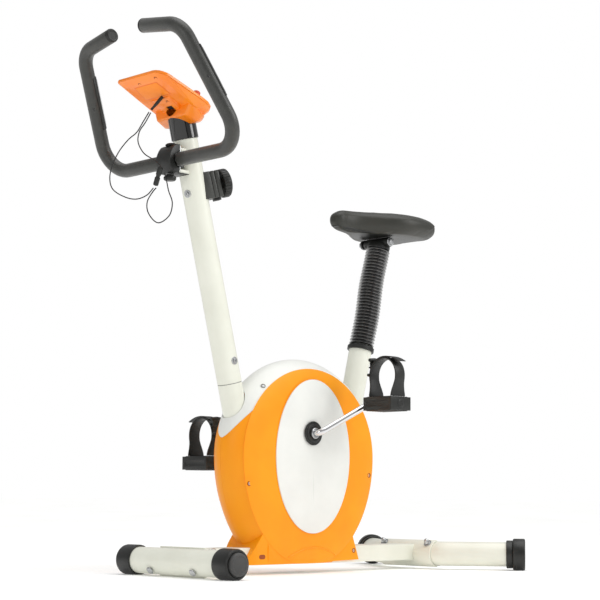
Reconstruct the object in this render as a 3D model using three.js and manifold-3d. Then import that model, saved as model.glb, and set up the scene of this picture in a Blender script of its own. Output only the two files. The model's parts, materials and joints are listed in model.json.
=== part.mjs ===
// Compact upright exercise bike with a belt-driven magnetic flywheel.
// Millimetres, +Z up, floor at Z = 0. -X is the way the rider faces, +Y is the rider's right.
// Every piece is drawn with X = 0 at the axis of the front foot. The whole bike is shifted at the
// end, so that the origin lies on the floor under the middle of the bike.
import * as THREE from "three";
import { ConvexGeometry } from "three/addons/geometries/ConvexGeometry.js";
import { mergeVertices } from "three/addons/utils/BufferGeometryUtils.js";
import Module from "manifold-3d";

const wasm = await Module();
wasm.setup();

// ---------------------------------------------------------------- driving dimensions
const middleX = 328.9;
const gap = 0.3;
const steelWall = 2;
const far = 1500;

const foot = { tube: 27, saddleWall: 3, boltY: 66 };
const frontFoot = { z: 30, half: 178, cap: 31, capLength: 50, saddleHalf: 69 };
const rearFoot = { x: 690, z: 35, tipX: 804, half: 237, bendY: 90, cap: 35, capLength: 42, saddleHalf: 80 };
const beam = { low: 20, high: 56, half: 30 };

const post = { lowX: 161, lowZ: 262, seamZ: 394, topZ: 932, radius: 25.5, lean: 0.262 };
const seatLine = { x: 520.2, z: 495.6, lean: 0.246, radius: 25.5, postRadius: 19 };

const casing = { x: 318, z: 246, ring: 192, crown: 215, half: 47.5, face: 51, wall: 2.5 };
const casingShape = { stretchLow: 1.2, stretchTop: 0.97, flat: 120, dome: 184, domeDrop: 2.6, floor: 22 };
const panel = { x: 321, z: 246.5, halfLength: 109, halfHeight: 163, thick: 1.8 };
const crank = { x: 316, z: 294.5, length: 126.5, angle: 29.9, rod: 7, hubY: 76, armY: 110, tipY: 200 };
const pedal = { inner: 126.8, width: 81, length: 62, thick: 31, strapWidth: 44, strapRise: 82 };
const pulley = { radius: 112, y: -30, halfWidth: 4 };
const flywheel = { x: 312, z: 148, radius: 86, small: 14, low: -12, high: 16, axle: 6 };

const bar = { x: -34.2, z: 840.5, lean: -0.5018, radius: 11.1, foam: 14.6, cornerY: 215, cornerRadius: 68 };
const barTop = { y: 157, z: 1072.3, tipY: 53, tipZ: 1087.4, cornerRadius: 32 };
const stem = { lowZ: 889, highZ: 938, outer: 28, inner: 26.2 };
const desk = { x: -127, z: 1005, tilt: 20, length: 163, half: 70 };

// ---------------------------------------------------------------- materials
const paint = (color, roughness, metalness = 0) => {
  return new THREE.MeshStandardMaterial({ color, roughness, metalness });
};
const looks = {
  white: paint(0xefeee6, 0.35),
  whitePlastic: paint(0xf2f2ee, 0.4),
  orange: paint(0xff9a1c, 0.4),
  console: paint(0xff7f10, 0.4),
  foam: paint(0x2b2b29, 0.9),
  black: paint(0x222222, 0.5),
  rubber: paint(0x2c2c2c, 0.7),
  vinyl: paint(0x1c1c1c, 0.55),
  chrome: paint(0xd8d8d8, 0.12, 1),
  zinc: paint(0xb8babc, 0.3, 1),
  iron: paint(0x6b6b6b, 0.6, 1),
  glass: paint(0x1a2226, 0.1),
};

// ---------------------------------------------------------------- shape helpers
const v = (x, y, z) => new THREE.Vector3(x, y, z);
const radians = (degrees) => (degrees * Math.PI) / 180;

// The point of the handlebar's leaning plane at a distance y from the middle and a height z.
const barPoint = (y, z) => v(bar.x + (z - bar.z) * bar.lean, y, z);

// Points on the leaning axes of the handlebar post and of the seat post.
const postPoint = (z) => v(post.lowX - (z - post.lowZ) * post.lean, 0, z);
const seatPoint = (z) => v(seatLine.x + (z - seatLine.z) * seatLine.lean, 0, z);

function merged(geometry) {
  const bare = geometry.clone();
  bare.deleteAttribute("normal");
  bare.deleteAttribute("uv");
  return mergeVertices(bare, 1e-3);
}

function volume(geometry) {
  const place = geometry.attributes.position;
  const corner = [v(0, 0, 0), v(0, 0, 0), v(0, 0, 0)];
  let total = 0;
  for (let i = 0; i < geometry.index.count; i += 3) {
    corner.forEach((point, k) => point.fromBufferAttribute(place, geometry.index.getX(i + k)));
    total += corner[0].dot(corner[1].clone().cross(corner[2])) / 6;
  }
  return total;
}

// One closed body whose faces point out.
function closed(geometry) {
  const body = merged(geometry);
  if (volume(body) < 0) {
    const index = body.index.array;
    for (let i = 0; i < index.length; i += 3) {
      [index[i], index[i + 1]] = [index[i + 1], index[i]];
    }
  }
  return body;
}

function toSolid(geometry) {
  const body = closed(geometry);
  const vertProperties = new Float32Array(body.attributes.position.array);
  const triVerts = new Uint32Array(body.index.array);
  return new wasm.Manifold(new wasm.Mesh({ numProp: 3, vertProperties, triVerts }));
}

function toGeometry(solid) {
  const mesh = solid.getMesh();
  const geometry = new THREE.BufferGeometry();
  geometry.setAttribute("position", new THREE.BufferAttribute(mesh.vertProperties, 3));
  geometry.setIndex(new THREE.BufferAttribute(mesh.triVerts, 1));
  return geometry;
}

function join(first, ...others) {
  return toGeometry(others.reduce((sum, other) => sum.add(toSolid(other)), toSolid(first)));
}

function cut(first, ...others) {
  return toGeometry(others.reduce((rest, other) => rest.subtract(toSolid(other)), toSolid(first)));
}

function common(first, second) {
  return toGeometry(toSolid(first).intersect(toSolid(second)));
}

function block(x0, x1, y0, y1, z0, z1) {
  const geometry = new THREE.BoxGeometry(x1 - x0, y1 - y0, z1 - z0);
  return geometry.translate((x0 + x1) / 2, (y0 + y1) / 2, (z0 + z1) / 2);
}

// A lathe profile of [radius, distance] pairs, turned about the line from one point towards another.
function turned(from, towards, profile, sides = 24) {
  const direction = towards.clone().sub(from).normalize();
  const turn = new THREE.Quaternion().setFromUnitVectors(v(0, 1, 0), direction);
  const points = profile.map(([radius, distance]) => new THREE.Vector2(radius, distance));
  const shape = new THREE.LatheGeometry(points, sides);
  return shape.applyQuaternion(turn).translate(from.x, from.y, from.z);
}

function rod(from, to, radius, sides = 24) {
  const length = from.distanceTo(to);
  return turned(from, to, [[0, 0], [radius, 0], [radius, length], [0, length]], sides);
}

function pipe(from, to, outer, inner, sides = 24) {
  const length = from.distanceTo(to);
  return turned(from, to, [[inner, 0], [outer, 0], [outer, length], [inner, length], [inner, 0]], sides);
}

// Outlines are drawn as (x, z) for pieces extruded across the bike, from y0 to y1.
function across(shape, y0, y1, bevel = 0, segments = 12) {
  const options = {
    depth: y1 - y0 - 2 * bevel,
    curveSegments: segments,
    bevelEnabled: bevel > 0,
    bevelThickness: bevel,
    bevelSize: bevel,
    bevelOffset: -bevel,
    bevelSegments: 1,
  };
  return new THREE.ExtrudeGeometry(shape, options).rotateX(Math.PI / 2).translate(0, y1 - bevel, 0);
}

// Outlines are drawn as (y, z) for pieces extruded along the bike, from x0 to x1.
function along(shape, x0, x1, segments = 12) {
  const turn = new THREE.Matrix4().makeBasis(v(0, 1, 0), v(0, 0, 1), v(1, 0, 0));
  const options = { depth: x1 - x0, curveSegments: segments, bevelEnabled: false };
  const geometry = new THREE.ExtrudeGeometry(shape, options);
  return geometry.applyMatrix4(turn).translate(x0, 0, 0);
}

// Outlines are drawn as (x, y) for flat pieces that are z0 to z1 high.
function upward(shape, z0, z1, bevel = 0, segments = 10) {
  const options = {
    depth: z1 - z0 - 2 * bevel,
    curveSegments: segments,
    bevelEnabled: bevel > 0,
    bevelThickness: bevel,
    bevelSize: bevel,
    bevelOffset: -bevel,
    bevelSegments: 2,
  };
  return new THREE.ExtrudeGeometry(shape, options).translate(0, 0, z0 + bevel);
}

function polygon(points) {
  return new THREE.Shape(points.map(([x, y]) => new THREE.Vector2(x, y)));
}

function rectangle(x0, x1, y0, y1) {
  return polygon([[x0, y0], [x1, y0], [x1, y1], [x0, y1]]);
}

// A cubic curve that stays close to the circular bend between two tangent points.
function arcBend(before, corner, after) {
  const half = before.clone().sub(corner).angleTo(after.clone().sub(corner)) / 2;
  const sweepAngle = Math.PI - 2 * half;
  const radius = before.distanceTo(corner) * Math.tan(half);
  const handle = ((4 / 3) * Math.tan(sweepAngle / 4) * radius) / before.distanceTo(corner);
  const first = before.clone().lerp(corner, handle);
  const second = after.clone().lerp(corner, handle);
  return new THREE.CubicBezierCurve3(before, first, second, after);
}

// Straight runs between the corners, with a bend of the given reach at each inner corner.
function bentLine(corners, reachAt, steps) {
  const line = [corners[0]];
  for (let i = 1; i < corners.length - 1; i += 1) {
    const reach = reachAt(corners[i]);
    const before = corners[i].clone().lerp(corners[i - 1], reach / corners[i].distanceTo(corners[i - 1]));
    const after = corners[i].clone().lerp(corners[i + 1], reach / corners[i].distanceTo(corners[i + 1]));
    line.push(...arcBend(before, corners[i], after).getPoints(steps));
  }
  return [...line, corners[corners.length - 1]];
}

// One ring of corners around each point of a line, square to the line and without twist.
function ringsAlong(line, radius, sides) {
  let side = null;
  return line.map((point, i) => {
    const direction = new THREE.Vector3();
    if (i > 0) {
      direction.add(point.clone().sub(line[i - 1]).normalize());
    }
    if (i < line.length - 1) {
      direction.add(line[i + 1].clone().sub(point).normalize());
    }
    direction.normalize();
    side = side || (Math.abs(direction.z) < 0.9 ? v(0, 0, 1) : v(1, 0, 0));
    side = side.clone().addScaledVector(direction, -side.dot(direction)).normalize();
    const up = direction.clone().cross(side);
    return Array.from({ length: sides }, (_, k) => {
      const turn = (2 * Math.PI * k) / sides;
      const across = point.clone().addScaledVector(side, radius * Math.cos(turn));
      return across.addScaledVector(up, radius * Math.sin(turn));
    });
  });
}

// A round bar along a line of points, or a tube when it has a hole.
function barAlong(line, radius, hole = 0, sides = 12) {
  const outer = ringsAlong(line, radius, sides);
  const centre = ringsAlong(line, 0, sides);
  const solid = [centre[0], ...outer, centre[centre.length - 1]];
  const hollow = [...outer, ...ringsAlong(line, hole, sides).reverse(), outer[0]];
  const rings = hole > 0 ? hollow : solid;
  const index = [];
  for (let i = 0; i < rings.length - 1; i += 1) {
    for (let k = 0; k < sides; k += 1) {
      const here = i * sides + k;
      const next = i * sides + ((k + 1) % sides);
      index.push(here, here + sides, next, next, here + sides, next + sides);
    }
  }
  const geometry = new THREE.BufferGeometry().setFromPoints(rings.flat());
  return geometry.setIndex(index);
}

const bike = new THREE.Group();

function add(name, geometry, material) {
  const mesh = new THREE.Mesh(closed(geometry), material);
  mesh.name = name;
  bike.add(mesh);
}

const sides = [
  { name: "left", sign: -1 },
  { name: "right", sign: 1 },
];

// ---------------------------------------------------------------- frame
const belowBeam = () => block(-far, far, -far, far, -far, beam.high + gap);

function bottomBeam() {
  const outline = rectangle(-beam.half, beam.half, beam.low, beam.high);
  const half = beam.half - steelWall;
  const inside = rectangle(-half, half, beam.low + steelWall, beam.high - steelWall);
  outline.holes.push(inside);
  return along(outline, 15, rearFoot.x - 15);
}

// A half shell welded to an end of the beam. It hugs the foot's tube on the beam's side.
function saddlePlate(x, z, half, beamSide) {
  const shell = rod(v(x, -half, z), v(x, half, z), foot.tube + foot.saddleWall + gap, 24);
  const openFront = block(-far, x + 4, -far, far, -far, far);
  const openRear = block(x - 4, far, -far, far, -far, far);
  const open = beamSide > 0 ? openFront : openRear;
  return cut(shell, open);
}

function tubeRoom(x, z) {
  return rod(v(x, -far, z), v(x, far, z), foot.tube + gap, 24);
}

function boltHole(bolt) {
  const direction = v(Math.sin(bolt.tilt), 0, Math.cos(bolt.tilt));
  const middle = v(bolt.x, bolt.y, bolt.z);
  const start = middle.clone().addScaledVector(direction, -60);
  return rod(start, middle.clone().addScaledVector(direction, 60), 4, 12);
}

const footBolts = [
  { name: "front_left_bolt", x: 0, z: frontFoot.z, y: -foot.boltY, tilt: radians(52) },
  { name: "front_right_bolt", x: 0, z: frontFoot.z, y: foot.boltY, tilt: radians(52) },
  { name: "rear_left_bolt", x: rearFoot.x, z: rearFoot.z, y: -foot.boltY, tilt: radians(-42) },
  { name: "rear_right_bolt", x: rearFoot.x, z: rearFoot.z, y: foot.boltY, tilt: radians(-42) },
];

// The beam with the curved plates welded to both its ends.
function baseFrame() {
  const frontPlate = saddlePlate(0, frontFoot.z, frontFoot.saddleHalf, 1);
  const rearPlate = saddlePlate(rearFoot.x, rearFoot.z, rearFoot.saddleHalf, -1);
  const welded = join(bottomBeam(), frontPlate, rearPlate);
  const rooms = [tubeRoom(0, frontFoot.z), tubeRoom(rearFoot.x, rearFoot.z)];
  const drain = rod(v(560, 0, beam.low - 10), v(560, 0, beam.low + 10), 5, 12);
  return cut(welded, ...rooms, ...footBolts.map(boltHole), drain);
}

function postStub() {
  return pipe(postPoint(post.lowZ), postPoint(post.seamZ), post.radius, post.radius - steelWall, 24);
}

// Inside the casing: the tube that carries the post stub's load down to the beam, the short tube
// from it to the seat tube, and the crank's bearing shell on top of that.
function crankFrame() {
  const tube = pipe(v(212, 0, beam.high - 20), v(post.lowX + 2, 0, post.lowZ + 8), 20, 18, 18);
  const brace = along(rectangle(-15, 15, 243, 273), 170, 470);
  const bearing = rod(v(crank.x, -22, crank.z), v(crank.x, 22, crank.z), 23, 24);
  const stubRoom = rod(postPoint(100), postPoint(post.seamZ), post.radius + gap, 24);
  const seatTubeRoom = rod(seatPoint(100), seatPoint(seatLine.z), seatLine.radius + gap, 24);
  const above = block(-far, 195, -far, far, post.lowZ - 2, far);
  const rear = block(445, far, -far, far, -far, far);
  const axleRoom = rod(v(crank.x, -60, crank.z), v(crank.x, 60, crank.z), crank.rod + 0.6, 20);
  const stubEnd = common(stubRoom, block(-far, far, -far, far, post.lowZ - 8, far));
  return cut(join(tube, brace, bearing), belowBeam(), stubEnd, seatTubeRoom, above, rear, axleRoom);
}

function seatTube() {
  const low = seatPoint(beam.high - 20);
  const high = seatPoint(seatLine.z);
  return cut(pipe(low, high, seatLine.radius, seatLine.radius - 3, 24), belowBeam());
}

function addFrame() {
  add("base_frame", baseFrame(), looks.white);
  add("post_stub", postStub(), looks.white);
  add("crank_frame", crankFrame(), looks.white);
  add("seat_tube", seatTube(), looks.white);
}

// ---------------------------------------------------------------- feet
function footBolt(bolt) {
  const direction = v(Math.sin(bolt.tilt), 0, Math.cos(bolt.tilt));
  const middle = v(bolt.x, bolt.y, bolt.z);
  const reach = foot.tube + foot.saddleWall;
  const start = middle.clone().addScaledVector(direction, -reach - 4.5);
  const head = [[0, 0], [7, 1.2], [8.5, 3.4], [8.5, 4.2], [3.6, 4.2]];
  const nutBase = 2 * reach + 5.2;
  const nut = [[3.6, nutBase], [6.5, nutBase], [6.5, nutBase + 5], [4.6, nutBase + 9], [0, nutBase + 10]];
  return turned(start, middle, [...head, ...nut], 12);
}

function frontFootTube() {
  const reach = frontFoot.half - frontFoot.capLength + 14;
  const low = v(0, -reach, frontFoot.z);
  const high = v(0, reach, frontFoot.z);
  return cut(pipe(low, high, foot.tube, foot.tube - steelWall, 20), ...footBolts.slice(0, 2).map(boltHole));
}

// A plug cap with a stepped outer face, pushed over the end of the front tube. It stands on a small
// flat along its underside.
function frontCap(sign) {
  const { cap, capLength, half, z } = frontFoot;
  const inner = v(0, sign * (half - capLength), z);
  const outer = v(0, sign * half, z);
  const room = foot.tube + gap;
  const socket = 15;
  const profile = [
    [0, socket],
    [room, socket],
    [room, 0],
    [cap, 0],
    [cap, capLength - 9],
    [cap - 3, capLength - 6],
    [cap - 8, capLength - 6],
    [cap - 10, capLength],
    [0, capLength],
  ];
  return cut(turned(inner, outer, profile, 24), block(-far, far, -far, far, -far, 0));
}

const rearArm = (() => {
  const slope = (rearFoot.tipX - rearFoot.x) / (rearFoot.half - rearFoot.bendY);
  const length = Math.hypot(1, slope);
  return { slope, x: slope / length, y: 1 / length };
})();

function rearArmPoint(sign, inward) {
  return v(rearFoot.tipX - inward * rearArm.x, sign * (rearFoot.half - inward * rearArm.y), rearFoot.z);
}

function rearFootLine(half) {
  const tipX = rearFoot.x + (half - rearFoot.bendY) * rearArm.slope;
  const points = [-half, -rearFoot.bendY, rearFoot.bendY, half].map((y) => {
    const x = Math.abs(y) === half ? tipX : rearFoot.x;
    return v(x, y, rearFoot.z);
  });
  return bentLine(points, () => 14, 3);
}

function rearFootTube() {
  const line = rearFootLine(rearFoot.half - (rearFoot.capLength - 12) * rearArm.y);
  return cut(barAlong(line, foot.tube, foot.tube - steelWall, 20), ...footBolts.slice(2).map(boltHole));
}

// A turning levelling cap: a narrow collar at the tube and a thick rim outside it.
function rearCap(sign) {
  const { cap, capLength } = rearFoot;
  const room = foot.tube + 0.5;
  const socket = 13;
  const profile = [
    [0, socket],
    [room, socket],
    [room, 0],
    [cap - 4, 0],
    [cap - 4, 14],
    [cap, 15],
    [cap, capLength - 2],
    [cap - 3, capLength],
    [0, capLength],
  ];
  return turned(rearArmPoint(sign, capLength), rearArmPoint(sign, 0), profile, 24);
}

function addFeet() {
  add("front_foot_tube", frontFootTube(), looks.white);
  add("rear_foot_tube", rearFootTube(), looks.white);
  for (const side of sides) {
    add(`front_${side.name}_cap`, frontCap(side.sign), looks.rubber);
    add(`rear_${side.name}_levelling_cap`, rearCap(side.sign), looks.rubber);
  }
  for (const bolt of footBolts) {
    add(bolt.name, footBolt(bolt), looks.zinc);
  }
}

// ---------------------------------------------------------------- post and handlebar
function frontPost() {
  const low = postPoint(post.seamZ + gap);
  const tube = pipe(low, postPoint(post.topZ), post.radius, post.radius - steelWall, 24);
  const middle = postPoint(bar.z);
  const rearX = middle.x - post.radius + 4;
  const cradle = block(bar.x - 1, rearX + 2, -19, 19, bar.z - 21, bar.z + 21);
  const barRoom = rod(v(bar.x, -40, bar.z), v(bar.x, 40, bar.z), bar.radius + gap, 24);
  const bore = rod(postPoint(post.seamZ - 5), postPoint(post.topZ + 5), post.radius - steelWall, 24);
  return cut(join(tube, cradle), barRoom, bore);
}

const clampHalf = 22.4;

// The black front half of the handlebar clamp.
function clampCover() {
  const outline = new THREE.Shape();
  outline.moveTo(bar.x - 1 - gap, bar.z - 30);
  outline.lineTo(bar.x - 1 - gap, bar.z + 31);
  outline.lineTo(bar.x - 10, bar.z + 31);
  outline.quadraticCurveTo(bar.x - 26, bar.z + 20, bar.x - 28, bar.z);
  outline.quadraticCurveTo(bar.x - 26, bar.z - 22, bar.x - 12, bar.z - 30);
  outline.closePath();
  const barRoom = rod(v(bar.x, -40, bar.z), v(bar.x, 40, bar.z), bar.radius + gap, 24);
  return cut(across(outline, 0.4 - clampHalf, clampHalf - 0.4, 0, 6), barRoom);
}

// The mushroom knob under the clamp that pulls the two halves together.
function clampKnob() {
  const x = bar.x - 8;
  const profile = [[0, 0], [8, 0], [8, 3], [13, 4], [13, 10], [9, 13], [0, 13]];
  return turned(v(x, 0, bar.z - 30 - gap), v(x, 0, bar.z - far), profile, 16);
}

const barCorners = (sign) => [
  barPoint(sign * bar.cornerY, bar.z),
  barPoint(sign * barTop.y, barTop.z),
  barPoint(sign * barTop.tipY, barTop.tipZ),
];

const barReach = (corner) => (corner.z < barTop.z - 1 ? bar.cornerRadius : barTop.cornerRadius);

function handlebarTube() {
  const line = bentLine([...barCorners(-1).reverse(), ...barCorners(1)], barReach, 5);
  return barAlong(line, bar.radius, bar.radius - steelWall, 10);
}

function foamGrip(sign) {
  const line = bentLine([barPoint(sign * clampHalf, bar.z), ...barCorners(sign)], barReach, 5);
  return barAlong(line, bar.foam, bar.radius + 0.8, 12);
}

function gripPlug(sign) {
  const [, top, tip] = barCorners(sign);
  const outward = tip.clone().sub(top).normalize();
  const start = tip.clone().addScaledVector(outward, gap);
  const end = start.clone().add(outward);
  return turned(start, end, [[0, 0], [bar.foam, 0], [bar.foam, 3], [bar.foam - 3, 5], [0, 5]], 14);
}

// The pulse sensor: a metal half sleeve on the inner side of each arm of the handlebar.
function pulseSensor(sign) {
  const low = barPoint(sign * (bar.cornerY - 22), bar.z + 88);
  const high = barPoint(sign * (barTop.y + 11.6), barTop.z - 46);
  const shell = pipe(low, high, bar.foam + 3, bar.foam + gap, 20);
  const alongArm = high.clone().sub(low).normalize();
  const outward = v(0, sign, 0).cross(alongArm).cross(alongArm).negate().normalize();
  const middle = low.clone().lerp(high, 0.5).addScaledVector(outward, 1);
  const turn = new THREE.Quaternion().setFromUnitVectors(v(0, 1, 0), outward);
  const outerHalf = block(-200, 200, 0, 200, -200, 200).applyQuaternion(turn).translate(...middle.toArray());
  return cut(shell, outerHalf);
}

function consoleStem() {
  return pipe(postPoint(stem.lowZ), postPoint(stem.highZ), stem.outer, stem.inner, 24);
}

function addHandlebar() {
  add("front_post", frontPost(), looks.white);
  add("handlebar_clamp_cover", clampCover(), looks.black);
  add("handlebar_clamp_knob", clampKnob(), looks.black);
  add("handlebar_tube", handlebarTube(), looks.zinc);
  for (const side of sides) {
    add(`${side.name}_foam_grip`, foamGrip(side.sign), looks.foam);
    add(`${side.name}_grip_plug`, gripPlug(side.sign), looks.black);
    add(`${side.name}_pulse_sensor`, pulseSensor(side.sign), looks.chrome);
  }
  add("console_stem", consoleStem(), looks.black);
}

// ---------------------------------------------------------------- casing
// The casing's outer form: a crowned drum with domed sides, grown or shrunk by a margin.
function casingDrum(margin) {
  const { ring, crown, half, face } = casing;
  const { stretchLow, stretchTop, flat, dome, domeDrop, floor } = casingShape;
  const edge = face - domeDrop;
  const profile = [[0, -face - margin], [flat, -face - margin], [dome, -edge - margin]];
  profile.push([ring + margin, -half - margin]);
  const crownSteps = 4;
  for (let i = 1; i < crownSteps; i += 1) {
    const y = half * ((2 * i) / crownSteps - 1);
    profile.push([ring + (crown - ring) * (1 - (y / half) ** 2) + margin, y]);
  }
  profile.push([ring + margin, half + margin]);
  profile.push([dome, edge + margin], [flat, face + margin], [0, face + margin]);
  const middle = v(casing.x, 0, casing.z);
  const drum = turned(middle, v(casing.x, 1, casing.z), profile, 36);
  const place = drum.attributes.position;
  for (let i = 0; i < place.count; i += 1) {
    const height = place.getZ(i) - casing.z;
    place.setZ(i, casing.z + height * (height < 0 ? stretchLow : stretchTop));
  }
  return common(drum, block(-far, far, -far, far, margin < 0 ? -far : floor, far));
}

// The foot of the casing, which straddles the beam.
function casingFoot(margin) {
  const low = margin < 0 ? -20 : 0;
  const outline = polygon([
    [136 - margin, 19 + low],
    [468 + margin, 26 + low],
    [449 + margin, 77],
    [440 + margin, 130],
    [190 - margin, 130],
    [180 - margin, 77],
  ]);
  const half = casing.half + margin;
  const plan = polygon([
    [136 - margin, -30],
    [172 - margin, -half],
    [far, -half],
    [far, half],
    [172 - margin, half],
    [136 - margin, 30],
  ]);
  return common(across(outline, -casing.half - 1, casing.half + 1), upward(plan, 0, 140));
}

function casingShell() {
  const outer = toSolid(join(casingDrum(0), casingFoot(0)));
  const inner = toSolid(join(casingDrum(-casing.wall), casingFoot(-casing.wall)));
  return outer.subtract(inner);
}

// The room above a line from the low front lip to the rear of the seat tube, inside both side rims.
function topRoom(margin) {
  const outline = polygon([
    [-far, 281 + margin],
    [118, 281 + margin],
    [150, 333 + margin],
    [175, 338 + margin],
    [460, 338 + margin],
    [520, 300 + margin],
    [far, 300 + margin],
    [far, far],
    [-far, far],
  ]);
  const rims = casing.half - 2.2;
  return toSolid(across(outline, -rims + margin, rims - margin));
}

function postRoom(extra) {
  return toSolid(rod(postPoint(post.lowZ - 60), postPoint(post.seamZ), post.radius + extra, 24));
}

function seatRoom(extra) {
  return toSolid(rod(seatPoint(150), seatPoint(seatLine.z), seatLine.radius + extra, 24));
}

// The collar of the top cover that hugs the post.
function collar(extra) {
  return toSolid(rod(postPoint(300 - extra), postPoint(330 + extra), post.radius + 6 + extra, 24));
}

function sideCover(sign) {
  const leftHalf = block(-far, far, -far, -gap / 2, -far, far);
  const rightHalf = block(-far, far, gap / 2, far, -far, far);
  const ownHalf = sign < 0 ? leftHalf : rightHalf;
  const axleRoom = rod(v(crank.x, -far, crank.z), v(crank.x, far, crank.z), 14, 20);
  const beamRoom = block(0, 660, -beam.half - 1, beam.half + 1, 0, beam.high + 1);
  const shell = casingShell().intersect(toSolid(ownHalf)).subtract(topRoom(0)).subtract(collar(gap));
  const opened = shell.subtract(postRoom(1.5)).subtract(seatRoom(1.5));
  return toGeometry(opened.subtract(toSolid(axleRoom)).subtract(toSolid(beamRoom)));
}

// The white cover over the top, with a collar around the post.
function topCover() {
  const band = casingShell().intersect(topRoom(gap));
  const hollow = toSolid(casingDrum(-casing.wall));
  const collared = band.add(collar(0).subtract(hollow));
  return toGeometry(collared.subtract(postRoom(1.5)).subtract(seatRoom(1.5)));
}

function ovalPanel(sign) {
  const { x, z, halfLength, halfHeight } = panel;
  const outline = new THREE.Shape().absellipse(x, z, halfLength, halfHeight, 0, 2 * Math.PI);
  const axleRoom = new THREE.Path().absarc(crank.x, crank.z, 12, 0, 2 * Math.PI);
  outline.holes.push(axleRoom);
  const near = casing.face + gap;
  const y0 = sign < 0 ? -near - panel.thick : near;
  return across(outline, y0, y0 + panel.thick, 0, 14);
}

function addCasing() {
  for (const side of sides) {
    add(`${side.name}_cover`, sideCover(side.sign), looks.orange);
    add(`${side.name}_oval_panel`, ovalPanel(side.sign), looks.whitePlastic);
  }
  add("top_cover", topCover(), looks.whitePlastic);
}

// ---------------------------------------------------------------- drive
const crankEnd = (sign) => {
  const turn = radians(crank.angle);
  const reach = sign * crank.length;
  return v(crank.x - reach * Math.cos(turn), 0, crank.z - reach * Math.sin(turn));
};

// The axle, both arms and both pedal spindles, bent from one steel bar.
function crankBar() {
  const points = [];
  for (const side of sides) {
    const end = crankEnd(side.sign);
    const half = [
      v(end.x, side.sign * crank.tipY, end.z),
      v(end.x, side.sign * crank.armY, end.z),
      v(crank.x, side.sign * crank.hubY, crank.z),
    ];
    points.push(...(side.sign < 0 ? half : half.reverse()));
  }
  return barAlong(bentLine(points, () => 14, 4), crank.rod, 0, 12);
}

function hubDisc(sign) {
  const start = v(crank.x, sign * (casing.face + panel.thick + 2.4), crank.z);
  const outside = v(crank.x, sign * far, crank.z);
  const bore = crank.rod + 0.6;
  return turned(start, outside, [[bore, 0], [25, 0], [25.5, 2], [20, 4.5], [bore, 5.5], [bore, 0]], 20);
}

function drivePulley() {
  const { radius, y, halfWidth } = pulley;
  const low = v(crank.x, y - halfWidth, crank.z);
  const bore = crank.rod + 0.6;
  const profile = [
    [bore, -2],
    [18, -2],
    [18, 3],
    [radius - 10, 3],
    [radius - 10, 0],
    [radius, 0],
    [radius, 2 * halfWidth],
    [radius - 10, 2 * halfWidth],
    [radius - 10, 5.5],
    [18, 5.5],
    [18, 10],
    [bore, 10],
    [bore, -2],
  ];
  return turned(low, v(crank.x, far, crank.z), profile, 24);
}

function flywheelDisc() {
  const { low, high, radius, small, axle } = flywheel;
  const bore = axle + 0.6;
  const pulleyLow = pulley.y - pulley.halfWidth - 1;
  const pulleyHigh = pulley.y + pulley.halfWidth + 1;
  const profile = [
    [bore, pulleyLow],
    [small, pulleyLow],
    [small, pulleyHigh],
    [small - 3, pulleyHigh],
    [small - 3, low + 6],
    [radius - 20, low + 6],
    [radius - 16, low],
    [radius, low],
    [radius, high],
    [radius - 16, high],
    [radius - 20, high - 6],
    [22, high - 6],
    [20, high + 4],
    [bore, high + 4],
    [bore, pulleyLow],
  ];
  return turned(v(flywheel.x, 0, flywheel.z), v(flywheel.x, 1, flywheel.z), profile, 24);
}

// The loop that an inextensible belt takes round two wheels of the given radii.
function beltLoop(margin, kind) {
  const big = pulley.radius + margin;
  const small = flywheel.small + margin;
  const line = Math.atan2(flywheel.z - crank.z, flywheel.x - crank.x);
  const distance = Math.hypot(flywheel.z - crank.z, flywheel.x - crank.x);
  const spread = Math.acos((big - small) / distance);
  const loop = new kind();
  loop.absarc(crank.x, crank.z, big, line + spread, line - spread + 2 * Math.PI, false);
  loop.absarc(flywheel.x, flywheel.z, small, line - spread, line + spread, false);
  loop.closePath();
  return loop;
}

function driveBelt() {
  const outline = beltLoop(3.6, THREE.Shape);
  outline.holes.push(beltLoop(1.4, THREE.Path));
  return across(outline, pulley.y - pulley.halfWidth + 1, pulley.y + pulley.halfWidth - 1, 0, 10);
}

// The U-shaped cradle that holds the flywheel's axle over the beam.
function flywheelCradle() {
  const { x, z, axle } = flywheel;
  const base = block(x - 22, x + 22, -41, 41, beam.high + gap, beam.high + 3);
  const plates = sides.map((side) => {
    const y = side.sign * 39.5;
    return block(x - 14, x + 14, y - 1.5, y + 1.5, beam.high + gap, z + 14);
  });
  const axleRoom = rod(v(x, -60, z), v(x, 60, z), axle + gap, 20);
  return cut(join(base, ...plates), axleRoom);
}

function flywheelAxle() {
  return rod(v(flywheel.x, -44, flywheel.z), v(flywheel.x, 44, flywheel.z), flywheel.axle, 20);
}

// The arm with the brake magnets, which swings down beside the rim of the flywheel.
const magnetPivot = { x: 238, z: 250 };
function magnetArm() {
  const low = 20.5;
  const high = 26;
  const outline = polygon([[-8, -8], [8, -12], [60, -34], [92, -34], [92, -12], [60, -6], [8, 8], [-8, 8]]);
  return across(outline, low, high).translate(magnetPivot.x, 0, magnetPivot.z);
}

function addDrive() {
  add("crank_bar", crankBar(), looks.chrome);
  add("drive_pulley", drivePulley(), looks.black);
  add("drive_belt", driveBelt(), looks.rubber);
  add("flywheel", flywheelDisc(), looks.iron);
  add("flywheel_axle", flywheelAxle(), looks.zinc);
  add("flywheel_cradle", flywheelCradle(), looks.zinc);
  add("magnet_arm", magnetArm(), looks.iron);
  for (const side of sides) {
    add(`${side.name}_hub_disc`, hubDisc(side.sign), looks.black);
  }
}

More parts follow.
